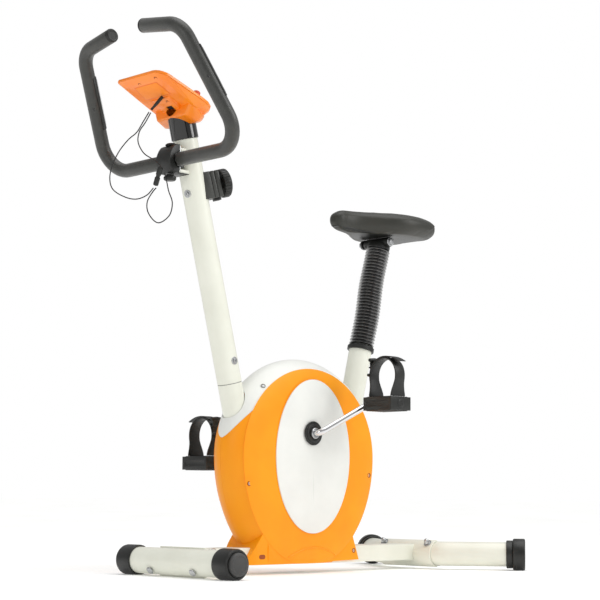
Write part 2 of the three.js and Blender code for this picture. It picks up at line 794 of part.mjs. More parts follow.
// ---------------------------------------------------------------- pedals
function pedalBody(sign) {
  const middle = crankEnd(sign);
  const y0 = sign < 0 ? -pedal.inner - pedal.width : pedal.inner;
  const half = pedal.length / 2;
  const outline = rectangle(middle.x - half, middle.x + half, y0, y0 + pedal.width);
  const body = upward(outline, middle.z - pedal.thick / 2, middle.z + pedal.thick / 2, 3);
  const tip = v(middle.x, sign * (crank.tipY + 1), middle.z);
  const spindleRoom = rod(v(middle.x, 0, middle.z), tip, crank.rod + 0.5, 20);
  return cut(body, spindleRoom);
}

// The band over the foot, a tall arch that stands on the inner and outer edges of the pedal.
function pedalStrap(sign) {
  const middle = crankEnd(sign);
  const centreY = sign * (pedal.inner + pedal.width / 2);
  const base = middle.z + pedal.thick / 2 + gap;
  const band = 3;
  const halfSpan = pedal.width / 2 - 2;
  const arch = (kind, inset) => {
    const half = halfSpan - inset;
    const top = base + pedal.strapRise - inset;
    const shape = new kind();
    shape.moveTo(centreY - half, base);
    shape.lineTo(centreY + half, base);
    shape.bezierCurveTo(centreY + half + 6, base + 45, centreY + half - 4, top, centreY, top);
    shape.bezierCurveTo(centreY - half + 4, top, centreY - half - 6, base + 45, centreY - half, base);
    return shape;
  };
  const x0 = middle.x - pedal.strapWidth / 2;
  const outside = along(arch(THREE.Shape, 0), x0, x0 + pedal.strapWidth, 12);
  const inside = along(arch(THREE.Shape, band), x0 - 5, x0 + pedal.strapWidth + 5, 12).translate(0, 0, -0.5);
  return cut(outside, inside);
}

function addPedals() {
  for (const side of sides) {
    add(`${side.name}_pedal`, pedalBody(side.sign), looks.black);
    add(`${side.name}_pedal_strap`, pedalStrap(side.sign), looks.rubber);
  }
}

// ---------------------------------------------------------------- saddle
const saddle = { nose: 420, rear: 700, low: 750, pan: 756, top: 798, half: 103, noseHalf: 25 };

// The saddle seen from above: a narrow rounded nose that flares into two rear wings.
function saddleOutline(inset) {
  const { nose, rear, half, noseHalf } = saddle;
  const shape = new THREE.Shape();
  const wide = half - inset;
  const thin = noseHalf - inset;
  const front = nose + inset;
  const back = rear - inset;
  shape.moveTo(front + 26, -thin);
  shape.bezierCurveTo(front + 100, -thin - 3, front + 120, -wide, front + 190, -wide);
  shape.bezierCurveTo(back - 30, -wide, back - 2, -wide + 12, back - 2, -wide + 55);
  shape.lineTo(back - 2, wide - 55);
  shape.bezierCurveTo(back - 2, wide - 12, back - 30, wide, front + 190, wide);
  shape.bezierCurveTo(front + 120, wide, front + 100, thin + 3, front + 26, thin);
  shape.bezierCurveTo(front - 8, thin, front - 8, -thin, front + 26, -thin);
  return shape;
}

function saddleCushion() {
  return upward(saddleOutline(0), saddle.pan + gap, saddle.top, 7, 8);
}

function saddlePan() {
  return upward(saddleOutline(14), saddle.low, saddle.pan, 0, 7);
}

function seatPost() {
  return pipe(seatPoint(290), seatPoint(726), seatLine.postRadius, seatLine.postRadius - 2, 24);
}

// The ribbed boot that hides the seat post between the seat tube and the saddle clamp.
function seatBellows() {
  return pipe(seatPoint(seatLine.z + 1), seatPoint(722), 28.5, 21, 24);
}

// The clamp across the top of the seat post that holds the saddle.
function saddleClamp() {
  const middle = seatPoint(738);
  const barrel = rod(v(middle.x, -34, middle.z), v(middle.x, 34, middle.z), 11.5, 20);
  const cup = rod(seatPoint(723), seatPoint(735), 26, 24);
  const postSocket = rod(seatPoint(700), seatPoint(727), seatLine.postRadius + gap, 24);
  const boltRoom = rod(v(middle.x, -60, middle.z), v(middle.x, 60, middle.z), 5, 16);
  return cut(join(barrel, cup), postSocket, boltRoom);
}

// The bolt through the clamp, with a head on the left and a dome nut on the right.
function clampBolt() {
  const middle = seatPoint(738);
  const reach = 34 + gap;
  const profile = [[0, -reach - 7], [9, -reach - 6], [9, -reach], [4.7, -reach]];
  profile.push([4.7, reach], [9, reach], [9, reach + 7], [5, reach + 11], [0, reach + 12]);
  return turned(middle, v(middle.x, far, middle.z), profile, 6);
}

function addSaddle() {
  add("seat_post", seatPost(), looks.chrome);
  add("seat_bellows", seatBellows(), looks.rubber);
  add("saddle_clamp", saddleClamp(), looks.black);
  add("saddle_clamp_bolt", clampBolt(), looks.zinc);
  add("saddle_pan", saddlePan(), looks.black);
  add("saddle_cushion", saddleCushion(), looks.vinyl);
}

// ---------------------------------------------------------------- console
// Console pieces are drawn with x towards the rider from the forward edge, y across and z up from
// the face, and are then tilted into place.
function tilted(geometry) {
  return geometry.rotateY(radians(desk.tilt)).translate(desk.x, 0, desk.z);
}

const deskButton = { x: 118, y: -42, radius: 7 };

function hull(points) {
  const both = points.flatMap(([x, y, z]) => [v(x, y, z), v(x, -y, z)]);
  return new ConvexGeometry(both);
}

// Half of the face's edge, from the sharp forward corner round to the rider's end.
const deskEdge = [[0, 66], [3, 69], [10, 70], [118, 70], [136, 68], [150, 60], [159, 47], [163, 28]];

function consoleBack() {
  const seam = -7 - gap;
  const rim = deskEdge.map(([x, y]) => [x, y, seam]);
  const shallow = [[12, 58, -12], [60, 60, -19], [118, 60, -24], [150, 40, -24]];
  const socket = [[66, 28, -19], [66, 24, -30], [102, 26, -36], [106, 30, -19]];
  const lobe = [[100, 60, -16], [104, 44, -44], [136, 50, -45], [153, 40, -34]];
  lobe.push([158, 40, -16], [140, 58, -30]);
  const inner = [[8, 52, 1], [118, 60, 1], [144, 48, 1], [14, 46, -9], [112, 50, -21], [144, 36, -21]];
  const lobeInner = [[104, 46, -12], [108, 40, -40], [134, 44, -41], [148, 36, -20]];
  const socketInner = [[69, 24, -16], [69, 21, -27], [99, 22, -32], [102, 26, -16]];
  const outside = join(hull([...rim, ...shallow]), hull(socket), hull(lobe));
  const inside = join(hull(inner), hull(lobeInner), hull(socketInner));
  const stemRoom = rod(postPoint(stem.lowZ), postPoint(1100), stem.outer + gap, 24);
  const stemTop = block(-far, far, -far, far, 965, far);
  return cut(tilted(outside), tilted(inside), cut(stemRoom, stemTop));
}

function consoleFace() {
  const rim = deskEdge.flatMap(([x, y]) => [[x, y, -7], [x, y, -1.5]]);
  const flat = deskEdge.map(([x, y]) => [Math.max(x - 1.5, 1.5), y - 1.5, 0]);
  const hump = hull([[108, 58, -1], [152, 34, -1], [116, 46, 9], [144, 28, 9], [136, 54, 4]]);
  const screenRoom = block(18, 98, -46, 46, -20, 20);
  const humpHollow = hull([[114, 50, -9], [147, 30, -9], [120, 42, 6], [140, 24, 6], [134, 48, 1]]);
  const { x, y, radius } = deskButton;
  const buttonRoom = rod(v(x, y, -20), v(x, y, 30), radius + 0.8, 20);
  return tilted(cut(join(hull([...rim, ...flat]), hump), screenRoom, humpHollow, buttonRoom));
}

function consoleScreen() {
  return tilted(block(18 + gap, 98 - gap, -46 + gap, 46 - gap, -6.5, -2));
}

function consoleButton() {
  const { x, y, radius } = deskButton;
  const profile = [[0, 0], [radius, 0], [radius, 17], [radius - 3, 19], [0, 19]];
  return tilted(turned(v(x, y, -4), v(x, y, 20), profile, 18));
}

// ---------------------------------------------------------------- tension control
const dial = { z: 790, turn: 20, halfHeight: 28, halfWidth: 20, reach: 28, knob: 30, knobDepth: 24 };

// The dial's axis points back to the rider and a little to the left, square to the post.
const dialAxis = v(Math.cos(radians(dial.turn)), -Math.sin(radians(dial.turn)), post.lean).normalize();
const dialPoint = (out) => postPoint(dial.z).addScaledVector(dialAxis, post.radius + out);

function dialBracket() {
  const { halfWidth, halfHeight, reach } = dial;
  const base = block(-halfWidth, halfWidth, -14, reach, -halfHeight, halfHeight);
  const sideways = v(0, 0, 1).cross(dialAxis).normalize().negate();
  const upwards = sideways.clone().cross(dialAxis);
  base.applyMatrix4(new THREE.Matrix4().makeBasis(sideways, dialAxis, upwards));
  base.translate(...dialPoint(0).toArray());
  return cut(base, rod(postPoint(650), postPoint(950), post.radius + gap, 24));
}

function dialKnob() {
  const { knob, knobDepth } = dial;
  const profile = [[0, 0], [12, 0], [12, 5], [knob - 1, 5], [knob, 8], [knob, knobDepth - 5]];
  profile.push([knob - 7, knobDepth], [0, knobDepth]);
  return turned(dialPoint(dial.reach + gap), dialPoint(far), profile, 24);
}

// ---------------------------------------------------------------- sensor leads
const lead = { radius: 1.2, step: 10 };

// The routes of the thin leads in front of the clamp, chosen to hang as such leads do.
const leadRoutes = {
  sensor_lead_long: [
    [-97, 3.1, 931.7], [-101, 16.9, 912.6], [-104, 32, 893.9], [-107, 57.3, 880.7], [-110, 88.9, 853.8],
    [-111, 109.8, 814.8], [-109, 104.8, 787.3], [-100, 72.6, 765.7], [-92, 43.3, 758.9], [-84, 21.2, 765.4],
    [-79.5, 6.5, 778.5],
  ],
  sensor_lead_short: [
    [-96, -1.5, 929.8], [-99, 12, 911], [-102, 26.5, 894.1], [-100, 33, 874.5], [-91, 26, 852],
    [-80, 6, 836], [-75.2, -10.5, 821.9],
  ],
  sensor_lead_loop: [
    [-66, -12, 808.5], [-66.5, -18, 795], [-70, -30, 770], [-72, -45, 742], [-73, -38, 718.5],
    [-77, -7, 706], [-80, 22, 731], [-80, 25, 752], [-78, 12, 770], [-76.5, 1.6, 778.5],
  ],
};

function leadWire(points) {
  const path = new THREE.CatmullRomCurve3(points.map((point) => v(...point)), false, "centripetal");
  return barAlong(path.getSpacedPoints(Math.round(path.getLength() / lead.step)), lead.radius, 0, 8);
}

function sensorPlug() {
  const profile = [[0, 0], [3.5, 0], [3.5, 20], [2.6, 26], [2.6, 36], [0, 36]];
  const start = v(-79, -17.4, 963.3);
  return turned(start, v(-96.3, 0.8, 933), profile, 12);
}

function leadConnector() {
  const profile = [[0, 0], [4.5, 0], [5.5, 3], [5.5, 17], [4, 18], [4, 22], [5.5, 23], [5.5, 38], [0, 40]];
  return turned(v(-75.3, -10, 820.3), v(-77.5, 3.5, 781), profile, 8);
}

function addConsole() {
  add("console_back", consoleBack(), looks.console);
  add("console_face", consoleFace(), looks.console);
  add("console_screen", consoleScreen(), looks.glass);
  add("console_button", consoleButton(), looks.console);
  add("tension_bracket", dialBracket(), looks.black);
  add("tension_knob", dialKnob(), looks.black);
  add("sensor_plug", sensorPlug(), looks.black);
  add("lead_connector", leadConnector(), looks.black);
  for (const [name, points] of Object.entries(leadRoutes)) {
    add(name, leadWire(points), looks.black);
  }
}

addFrame();
addFeet();
addHandlebar();
addCasing();
addDrive();
addPedals();
addSaddle();
addConsole();

bike.position.x = -middleX;

export default bike;
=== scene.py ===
import json
import math

import bmesh
import bpy
from mathutils import Matrix, Vector
from mathutils.bvhtree import BVHTree


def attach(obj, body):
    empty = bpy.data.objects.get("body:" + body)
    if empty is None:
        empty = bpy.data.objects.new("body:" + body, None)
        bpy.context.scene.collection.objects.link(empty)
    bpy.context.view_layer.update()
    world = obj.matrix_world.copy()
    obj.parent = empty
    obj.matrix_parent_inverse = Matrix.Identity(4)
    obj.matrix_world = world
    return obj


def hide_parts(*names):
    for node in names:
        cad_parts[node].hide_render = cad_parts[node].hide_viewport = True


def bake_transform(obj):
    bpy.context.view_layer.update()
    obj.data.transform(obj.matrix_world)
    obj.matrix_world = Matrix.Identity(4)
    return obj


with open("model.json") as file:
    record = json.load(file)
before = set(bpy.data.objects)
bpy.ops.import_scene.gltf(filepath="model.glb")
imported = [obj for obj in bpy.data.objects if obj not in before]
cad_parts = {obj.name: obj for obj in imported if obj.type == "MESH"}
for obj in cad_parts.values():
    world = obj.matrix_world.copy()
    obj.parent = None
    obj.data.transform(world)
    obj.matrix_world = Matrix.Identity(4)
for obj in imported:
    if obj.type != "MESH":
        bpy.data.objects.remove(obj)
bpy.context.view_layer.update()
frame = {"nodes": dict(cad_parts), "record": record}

# ---------------------------------------------------------------- places
# Shapes are drawn in millimetres with X = 0 at the axis of the front foot, as in the part's source.
MIDDLE_X = 328.9


def at(x, y, z):
    return Vector((x - MIDDLE_X, y, z)) / 1000


def post_point(z):
    return Vector((161 - (z - 262) * 0.262, 0, z))


def seat_point(z):
    return Vector((520.2 + (z - 495.6) * 0.246, 0, z))


BAR_X, BAR_Z, BAR_LEAN = -34.2, 840.5, -0.5018


def bar_point(y, z):
    return Vector((BAR_X + (z - BAR_Z) * BAR_LEAN, y, z))


SIDES = (("left", -1), ("right", 1))


# ---------------------------------------------------------------- camera
def add_camera():
    azimuth, pitch, roll = math.radians(44.0597), math.radians(6.7527), math.radians(0.3538)
    forward = Vector((math.sin(azimuth) * math.cos(pitch), math.cos(azimuth) * math.cos(pitch), math.sin(pitch)))
    level = Vector((math.cos(azimuth), -math.sin(azimuth), 0))
    upright = level.cross(forward)
    right = level * math.cos(roll) + upright * math.sin(roll)
    up = upright * math.cos(roll) - level * math.sin(roll)
    data = bpy.data.cameras.new("camera")
    data.sensor_width = 36
    data.lens = 98.31
    data.clip_start = 0.1
    data.clip_end = 60
    camera = bpy.data.objects.new("camera", data)
    bpy.context.collection.objects.link(camera)
    camera.matrix_world = Matrix.Translation(at(-2133.6, -2544.1, 166.3)) @ Matrix(
        (
            (right.x, up.x, -forward.x, 0),
            (right.y, up.y, -forward.y, 0),
            (right.z, up.z, -forward.z, 0),
            (0, 0, 0, 1),
        )
    )
    bpy.context.scene.camera = camera


add_camera()


# ---------------------------------------------------------------- materials
def linear(code):
    """A hexadecimal colour as linear red, green, blue and full alpha."""
    parts = [int(code[i : i + 2], 16) / 255 for i in (0, 2, 4)]
    return [p / 12.92 if p <= 0.04045 else ((p + 0.055) / 1.055) ** 2.4 for p in parts] + [1]


def surface(
    name, dark, light, rough, metallic=0.0, coat=0.0, level=0.5, grain=900, bump=0.05, kind="noise", patch=14, sheen=0.0
):
    """A material whose colour and gloss wander between two values, with a fine grain in its relief."""
    material = bpy.data.materials.new(name)
    material.use_nodes = True
    nodes, links = material.node_tree.nodes, material.node_tree.links
    shader = nodes["Principled BSDF"]
    shader.inputs["Metallic"].default_value = metallic
    shader.inputs["Specular IOR Level"].default_value = level
    shader.inputs["Coat Weight"].default_value = coat
    shader.inputs["Coat Roughness"].default_value = 0.12
    shader.inputs["Sheen Weight"].default_value = sheen
    place = nodes.new("ShaderNodeTexCoord")
    patches = nodes.new("ShaderNodeTexNoise")
    patches.inputs["Scale"].default_value = patch
    patches.inputs["Detail"].default_value = 5
    links.new(place.outputs["Object"], patches.inputs["Vector"])
    colours = nodes.new("ShaderNodeValToRGB")
    colours.color_ramp.elements[0].position = 0.35
    colours.color_ramp.elements[0].color = linear(dark)
    colours.color_ramp.elements[1].position = 0.65
    colours.color_ramp.elements[1].color = linear(light)
    links.new(patches.outputs["Fac"], colours.inputs["Fac"])
    links.new(colours.outputs["Color"], shader.inputs["Base Color"])
    gloss = nodes.new("ShaderNodeMapRange")
    gloss.inputs["To Min"].default_value = rough[0]
    gloss.inputs["To Max"].default_value = rough[1]
    links.new(patches.outputs["Fac"], gloss.inputs["Value"])
    links.new(gloss.outputs["Result"], shader.inputs["Roughness"])
    fine = nodes.new("ShaderNodeTexVoronoi" if kind == "cells" else "ShaderNodeTexNoise")
    fine.inputs["Scale"].default_value = grain
    links.new(place.outputs["Object"], fine.inputs["Vector"])
    relief = nodes.new("ShaderNodeBump")
    relief.inputs["Strength"].default_value = bump
    relief.inputs["Distance"].default_value = 0.0006
    height = fine.outputs["Distance"] if kind == "cells" else fine.outputs["Fac"]
    links.new(height, relief.inputs["Height"])
    links.new(relief.outputs["Normal"], shader.inputs["Normal"])
    return material


LOOKS = {
    "frame_paint": surface("white_paint", "e7e8da", "eeefe2", (0.3, 0.4), coat=0.2, grain=500, bump=0.05),
    "casing_orange": surface("orange_casing", "fe9a08", "ffa20a", (0.34, 0.46), level=0.3, grain=1600, bump=0.12),
    "casing_white": surface("white_casing", "e9eae5", "eff0eb", (0.3, 0.42), level=0.4, grain=1600, bump=0.12),
    "console_orange": surface("orange_console", "fc8208", "ff8f10", (0.28, 0.4), coat=0.5, level=0.4, grain=1800, bump=0.12),
    "button_red": surface("red_button", "c9400e", "d84a12", (0.35, 0.45), grain=1800, bump=0.1),
    "screen_dark": surface("dark_screen", "0d1214", "12181b", (0.06, 0.12), coat=0.6, grain=300, bump=0.0),
    "black_plastic": surface("black_plastic", "121311", "1b1c19", (0.32, 0.44), grain=1500, bump=0.25),
    "black_gloss": surface("black_gloss", "070707", "0d0d0c", (0.1, 0.16), coat=0.5, grain=500, bump=0.02),
    "black_rubber": surface("black_rubber", "10110f", "191a17", (0.38, 0.52), grain=1100, bump=0.3),
    "grip_foam": surface("grip_foam", "1e1f1b", "2a2b25", (0.32, 0.44), level=0.7, grain=1400, bump=0.4, patch=60, sheen=0.2),
    "saddle_vinyl": surface("saddle_vinyl", "262721", "302f28", (0.38, 0.5), grain=650, bump=0.35, kind="cells"),
    "chrome": surface("chrome", "c9c9ca", "e2e2e3", (0.08, 0.18), metallic=1, grain=400, bump=0.02),
    "steel_zinc": surface("zinc_steel", "a3a5a6", "c2c3c4", (0.22, 0.36), metallic=1, grain=700, bump=0.08),
    "iron": surface("cast_iron", "4a4a4a", "5e5d5c", (0.5, 0.7), metallic=0.8, grain=350, bump=0.5),
    "lead_black": surface("lead_black", "141414", "1d1d1d", (0.35, 0.5), grain=2000, bump=0.1),
}
# Near-black material for the console's port: painted shade of the opening.
PORT_SHADE = surface("port_shade", "0a0a0a", "101010", (0.8, 0.95), grain=500, bump=0.05)
CAP_FACE = surface("cap_face", "3d3d3c", "4a4a49", (0.45, 0.6), grain=1500, bump=0.3)
# Grey used as painted shade: the shadow in the seam between the post tubes and the white cover's screw countersinks.
SHADE_GREY = surface("grey_shade", "7d7d78", "90908a", (0.5, 0.6), grain=900, bump=0.1)
# Darker orange round the battery door: painted shade of its seam.
DOOR_SEAM_SHADE = surface("door_seam_shade", "e96405", "f4740c", (0.35, 0.5), grain=1800, bump=0.15)

for entry in frame["record"]["subparts"]:
    cad = frame["nodes"][entry["node"]]
    for place in cad.material_slots:
        place.material = LOOKS[entry["material_slot"]]


# ---------------------------------------------------------------- shape helpers
def square_to(direction):
    """Two unit vectors square to the direction and to each other."""
    start = Vector((0, 0, 1)) if abs(direction.z) < 0.9 else Vector((1, 0, 0))
    side = (start - direction * start.dot(direction)).normalized()
    return side, direction.cross(side)


def skin(rings, loop=False):
    """Corners and quads that join each ring of corners to the next."""
    count = len(rings[0])
    corners = [corner for ring in rings for corner in ring]
    quads = []
    for i in range(len(rings) if loop else len(rings) - 1):
        here, there = i * count, ((i + 1) % len(rings)) * count
        for k in range(count):
            after = (k + 1) % count
            quads.append((here + k, here + after, there + after, there + k))
    return corners, quads


def lathe(start, towards, profile, sides=72):
    """A profile of (radius, distance) pairs, turned about the line from start towards another point."""
    start = Vector(start)
    direction = (Vector(towards) - start).normalized()
    side, up = square_to(direction)
    turns = [2 * math.pi * k / sides for k in range(sides)]
    spokes = [side * math.cos(t) + up * math.sin(t) for t in turns]
    rings = [[start + direction * distance + spoke * radius for spoke in spokes] for radius, distance in profile]
    closes = profile[0][0] > 0 and profile[-1][0] > 0
    return skin(rings, loop=closes)


def frames_along(line):
    """The side and up vectors at each point of a line, without twist."""
    side = None
    frames = []
    for i, point in enumerate(line):
        before, after = line[max(i - 1, 0)], line[min(i + 1, len(line) - 1)]
        direction = (after - before).normalized()
        side = square_to(direction)[0] if side is None else (side - direction * side.dot(direction)).normalized()
        frames.append((point, side, direction.cross(side)))
    return frames


def bar_along(line, radius, hole=0, sides=32, round_ends=0.0):
    """A round bar along a line of points, or a tube when it has a hole."""
    turns = [2 * math.pi * k / sides for k in range(sides)]

    def ring(i, size):
        point, side, up = frames[i]
        return [point + (side * math.cos(t) + up * math.sin(t)) * size for t in turns]

    frames = frames_along(line)
    last = len(line) - 1
    outer = [ring(i, radius) for i in range(last + 1)]
    if round_ends > 0:
        outer[0], outer[last] = ring(0, radius - round_ends), ring(last, radius - round_ends)
    if hole > 0:
        return skin(outer + [ring(i, hole) for i in range(last, -1, -1)], loop=True)
    return skin([ring(0, 0)] + outer + [ring(last, 0)])


def prism(outline, low, high, plane="xz"):
    """A flat outline extruded along the axis that its plane leaves out."""
    place = {
        "xz": lambda a, b, depth: Vector((a, depth, b)),
        "yz": lambda a, b, depth: Vector((depth, a, b)),
        "xy": lambda a, b, depth: Vector((a, b, depth)),
    }[plane]
    count = len(outline)
    corners = [place(a, b, low) for a, b in outline] + [place(a, b, high) for a, b in outline]
    faces = [tuple(range(count)), tuple(range(2 * count - 1, count - 1, -1))]
    for k in range(count):
        after = (k + 1) % count
        faces.append((k, after, count + after, count + k))
    return corners, faces


def box(x0, x1, y0, y1, z0, z1):
    return prism([(x0, z0), (x1, z0), (x1, z1), (x0, z1)], y0, y1)


def moved(shape, change):
    corners, faces = shape
    return [change(corner) for corner in corners], faces


def together(*shapes):
    corners, faces = [], []
    for some_corners, some_faces in shapes:
        faces += [tuple(len(corners) + k for k in face) for face in some_faces]
        corners += some_corners
    return corners, faces


def between(points, x):
    for (x0, y0), (x1, y1) in zip(points, points[1:]):
        if x <= x1:
            return y0 + (y1 - y0) * (x - x0) / max(x1 - x0, 1e-6)
    return points[-1][1]


def arc_points(centre, radius, start, end, count):
    """Points of a circular arc in a plane, between two angles in degrees."""
    turns = [math.radians(start + (end - start) * k / count) for k in range(count + 1)]
    return [(centre[0] + radius * math.cos(t), centre[1] + radius * math.sin(t)) for t in turns]


def bend(before, corner, after, count):
    """Points of a cubic curve close to the circular bend between two tangent points."""
    half = (before - corner).angle(after - corner) / 2
    radius = (before - corner).length * math.tan(half)
    handle = 4 / 3 * math.tan((math.pi - 2 * half) / 4) * radius / (before - corner).length
    first, second = before.lerp(corner, handle), after.lerp(corner, handle)
    points = []
    for k in range(count + 1):
        t = k / count
        s = 1 - t
        points.append(before * s**3 + first * 3 * s * s * t + second * 3 * s * t * t + after * t**3)
    return points


def bent_line(corners, reach_at, count=10):
    """Straight runs between the corners, with a bend of the given reach at each inner corner."""
    line = [corners[0]]
    for before, corner, after in zip(corners, corners[1:], corners[2:]):
        reach = reach_at(corner)
        start = corner.lerp(before, reach / (corner - before).length)
        end = corner.lerp(after, reach / (corner - after).length)
        line += bend(start, corner, end, count)
    return line + [corners[-1]]


# ---------------------------------------------------------------- piece helpers
def raw(name, shape):
    """A plain object in the row frame from corners in millimetres."""
    corners, faces = shape
    mesh = bpy.data.meshes.new(name)
    mesh.from_pydata([at(*corner) for corner in corners], [], faces)
    tidy = bmesh.new()
    tidy.from_mesh(mesh)
    bmesh.ops.remove_doubles(tidy, verts=tidy.verts, dist=1e-6)
    bmesh.ops.dissolve_degenerate(tidy, edges=tidy.edges, dist=1e-6)
    bmesh.ops.recalc_face_normals(tidy, faces=tidy.faces)
    tidy.to_mesh(mesh)
    tidy.free()
    made = bpy.data.objects.new(name, mesh)
    bpy.context.collection.objects.link(made)
    return made


def settle(made):
    """Applies the object's modifiers to its mesh."""
    graph = bpy.context.evaluated_depsgraph_get()
    mesh = bpy.data.meshes.new_from_object(made.evaluated_get(graph))
    made.modifiers.clear()
    made.data = mesh


def rounded(made, width, segments=2, angle=40):
    """Rounds the edges sharper than the angle, by a width in millimetres."""
    change = made.modifiers.new("round", "BEVEL")
    change.width = width / 1000
    change.segments = segments
    change.limit_method = "ANGLE"
    change.angle_limit = math.radians(angle)
    change.use_clamp_overlap = True
    settle(made)
    return made


def carve(made, tool, operation="DIFFERENCE"):
    """Cuts, joins or keeps what is common with a tool object, which is then removed."""
    change = made.modifiers.new("carve", "BOOLEAN")
    change.operation = operation
    change.solver = "EXACT"
    change.object = tool
    settle(made)
    bpy.data.objects.remove(tool)
    return made


def dress(made, body, slot, replaces=(), material=None, angle=35):
    """Gives a finished object its shading, its material and its CAD body."""
    made.data.materials.clear()
    made.data.materials.append(material or LOOKS[slot])
    made.data.shade_smooth()
    made.data.set_sharp_from_angle(angle=math.radians(angle))
    if body:
        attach(made, body)
    if replaces:
        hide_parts(*replaces)
    return made


def piece(name, shape, body, slot, replaces=(), material=None, round_by=0.0, angle=35):
    made = raw(name, shape)
    if round_by > 0:
        rounded(made, round_by)
    return dress(made, body, slot, replaces, material, angle)


# ---------------------------------------------------------------- sensor leads
LEAD_ROUTES = {
    "sensor_lead_long": [
        (-97, 3.1, 931.7), (-101, 16.9, 912.6), (-104, 32, 893.9), (-107, 57.3, 880.7), (-110, 88.9, 853.8),
        (-111, 109.8, 814.8), (-109, 104.8, 787.3), (-100, 72.6, 765.7), (-92, 43.3, 758.9), (-84, 21.2, 765.4),
        (-79.5, 6.5, 778.5),
    ],
    "sensor_lead_short": [
        (-96, -1.5, 929.8), (-99, 12, 911), (-102, 26.5, 894.1), (-100, 33, 874.5), (-91, 26, 852), (-80, 6, 836),
        (-75.2, -10.5, 821.9),
    ],
    "sensor_lead_loop": [
        (-66, -12, 808.5), (-66.5, -18, 795), (-70, -30, 770), (-72, -45, 742), (-73, -38, 718.5), (-77, -7, 706),
        (-80, 22, 731), (-80, 25, 752), (-78, 12, 770), (-76.5, 1.6, 778.5),
    ],
}
LEAD_DIAMETER = 0.0024


def smooth_route(points, steps=8):
    """Points of a centripetal curve through the route's points."""
    ends = [points[0] * 2 - points[1]] + points + [points[-1] * 2 - points[-2]]
    line = []
    for p0, p1, p2, p3 in zip(ends, ends[1:], ends[2:], ends[3:]):
        t1 = (p1 - p0).length ** 0.5
        t2 = t1 + (p2 - p1).length ** 0.5
        t3 = t2 + (p3 - p2).length ** 0.5
        for k in range(steps):
            t = t1 + (t2 - t1) * k / steps
            a1 = p0 * ((t1 - t) / t1) + p1 * (t / t1)
            a2 = p1 * ((t2 - t) / (t2 - t1)) + p2 * ((t - t1) / (t2 - t1))
            a3 = p2 * ((t3 - t) / (t3 - t2)) + p3 * ((t - t2) / (t3 - t2))
            b1 = a1 * ((t2 - t) / t2) + a2 * (t / t2)
            b2 = a2 * ((t3 - t) / (t3 - t1)) + a3 * ((t - t1) / (t3 - t1))
            line.append(b1 * ((t2 - t) / (t2 - t1)) + b2 * ((t - t1) / (t2 - t1)))
    return line + [points[-1]]


def add_leads():
    start, towards = (-79, -17.4, 963.3), (-96.3, 0.8, 933)
    boot = [(0, 0), (3.2, 0), (3.5, 1), (3.5, 18), (3.1, 20), (3.1, 21.5), (3.5, 22), (2.6, 26), (2.6, 35.5), (0, 36)]
    plug = piece("plug_boot", lathe(start, towards, boot, 24), "frame", "black_plastic", ["sensor_plug"])
    low, high = (-75.3, -10, 820.3), (-77.5, 3.5, 781)
    upper = [(0, 0), (4, 0.3), (5.2, 2), (5.5, 4), (5.5, 16), (4.6, 18)]
    lower = [(4.2, 18.2), (4.2, 21.8), (5.5, 22.4), (5.5, 36), (4.8, 39), (0, 40)]
    shell = lathe(low, high, upper + lower, 10)
    connector = piece("lead_coupler", shell, "frame", "black_plastic", ["lead_connector"], round_by=0.4)
    for name, route in LEAD_ROUTES.items():
        line = smooth_route([Vector(point) for point in route])
        shape = bar_along(line, LEAD_DIAMETER * 500, sides=12)
        wire = piece(f"wire_{name[12:]}", shape, "frame", "lead_black", [name])


add_leads()


# ---------------------------------------------------------------- feet
FOOT_TUBE = 27
FRONT_FOOT_Z, FRONT_HALF = 30, 178
REAR_FOOT_X, REAR_FOOT_Z, REAR_HALF, REAR_TIP_X, REAR_BEND_Y = 690, 35, 237, 804, 90
ARM = Vector((REAR_TIP_X - REAR_FOOT_X, REAR_HALF - REAR_BEND_Y, 0)).normalized()


def front_cap(sign):
    """A plug cap with a stepped end and a raised disc, lighter than its rim."""
    start, towards = (0, sign * (FRONT_HALF - 50), FRONT_FOOT_Z), (0, sign * FRONT_HALF, FRONT_FOOT_Z)
    rim = [(0, 15), (27.3, 15), (27.3, 0.6), (28, 0), (30, 0.4), (30.6, 1.5), (31, 4), (31, 38), (30.4, 41), (29, 43.4)]
    rim += [(26.8, 44), (25.6, 43.6), (24.6, 42.2), (24, 42.2), (0, 42.2)]
    disc = [(0, 42), (23.4, 42), (23.4, 46.6), (22.6, 48.6), (20.4, 50), (17.5, 50), (16.6, 49.3), (0, 49.3)]
    return lathe(start, towards, rim), lathe(start, towards, disc)


def flat_on_floor(shape):
    return moved(shape, lambda corner: Vector((corner.x, corner.y, max(corner.z, 0))))


def rear_foot_line(half):
    tip_x = REAR_FOOT_X + (half - REAR_BEND_Y) * ARM.x / ARM.y
    stations = ((-half, tip_x), (-REAR_BEND_Y, REAR_FOOT_X), (REAR_BEND_Y, REAR_FOOT_X), (half, tip_x))
    return bent_line([Vector((x, y, REAR_FOOT_Z)) for y, x in stations], lambda corner: 16, 8)


def rear_cap(sign):
    """A turning levelling cap: a collar, a groove and a thick knurled rim with a bevel."""
    tip = Vector((REAR_TIP_X, sign * REAR_HALF, REAR_FOOT_Z))
    outward = Vector((ARM.x, sign * ARM.y, 0))
    profile = [(0, 13), (27.5, 13), (27.5, 0.5), (28.2, 0), (30.2, 0.3), (31, 1.2), (31, 13), (30.4, 14), (32.6, 14.6)]
    profile += [(34.4, 15.8), (35, 17.5), (35, 39), (34.4, 40.6), (33, 41.6), (31.4, 42), (29.4, 42), (28.6, 41)]
    profile += [(27.6, 40.4), (0, 40.4)]
    return lathe(tip - outward * 42, tip, profile)


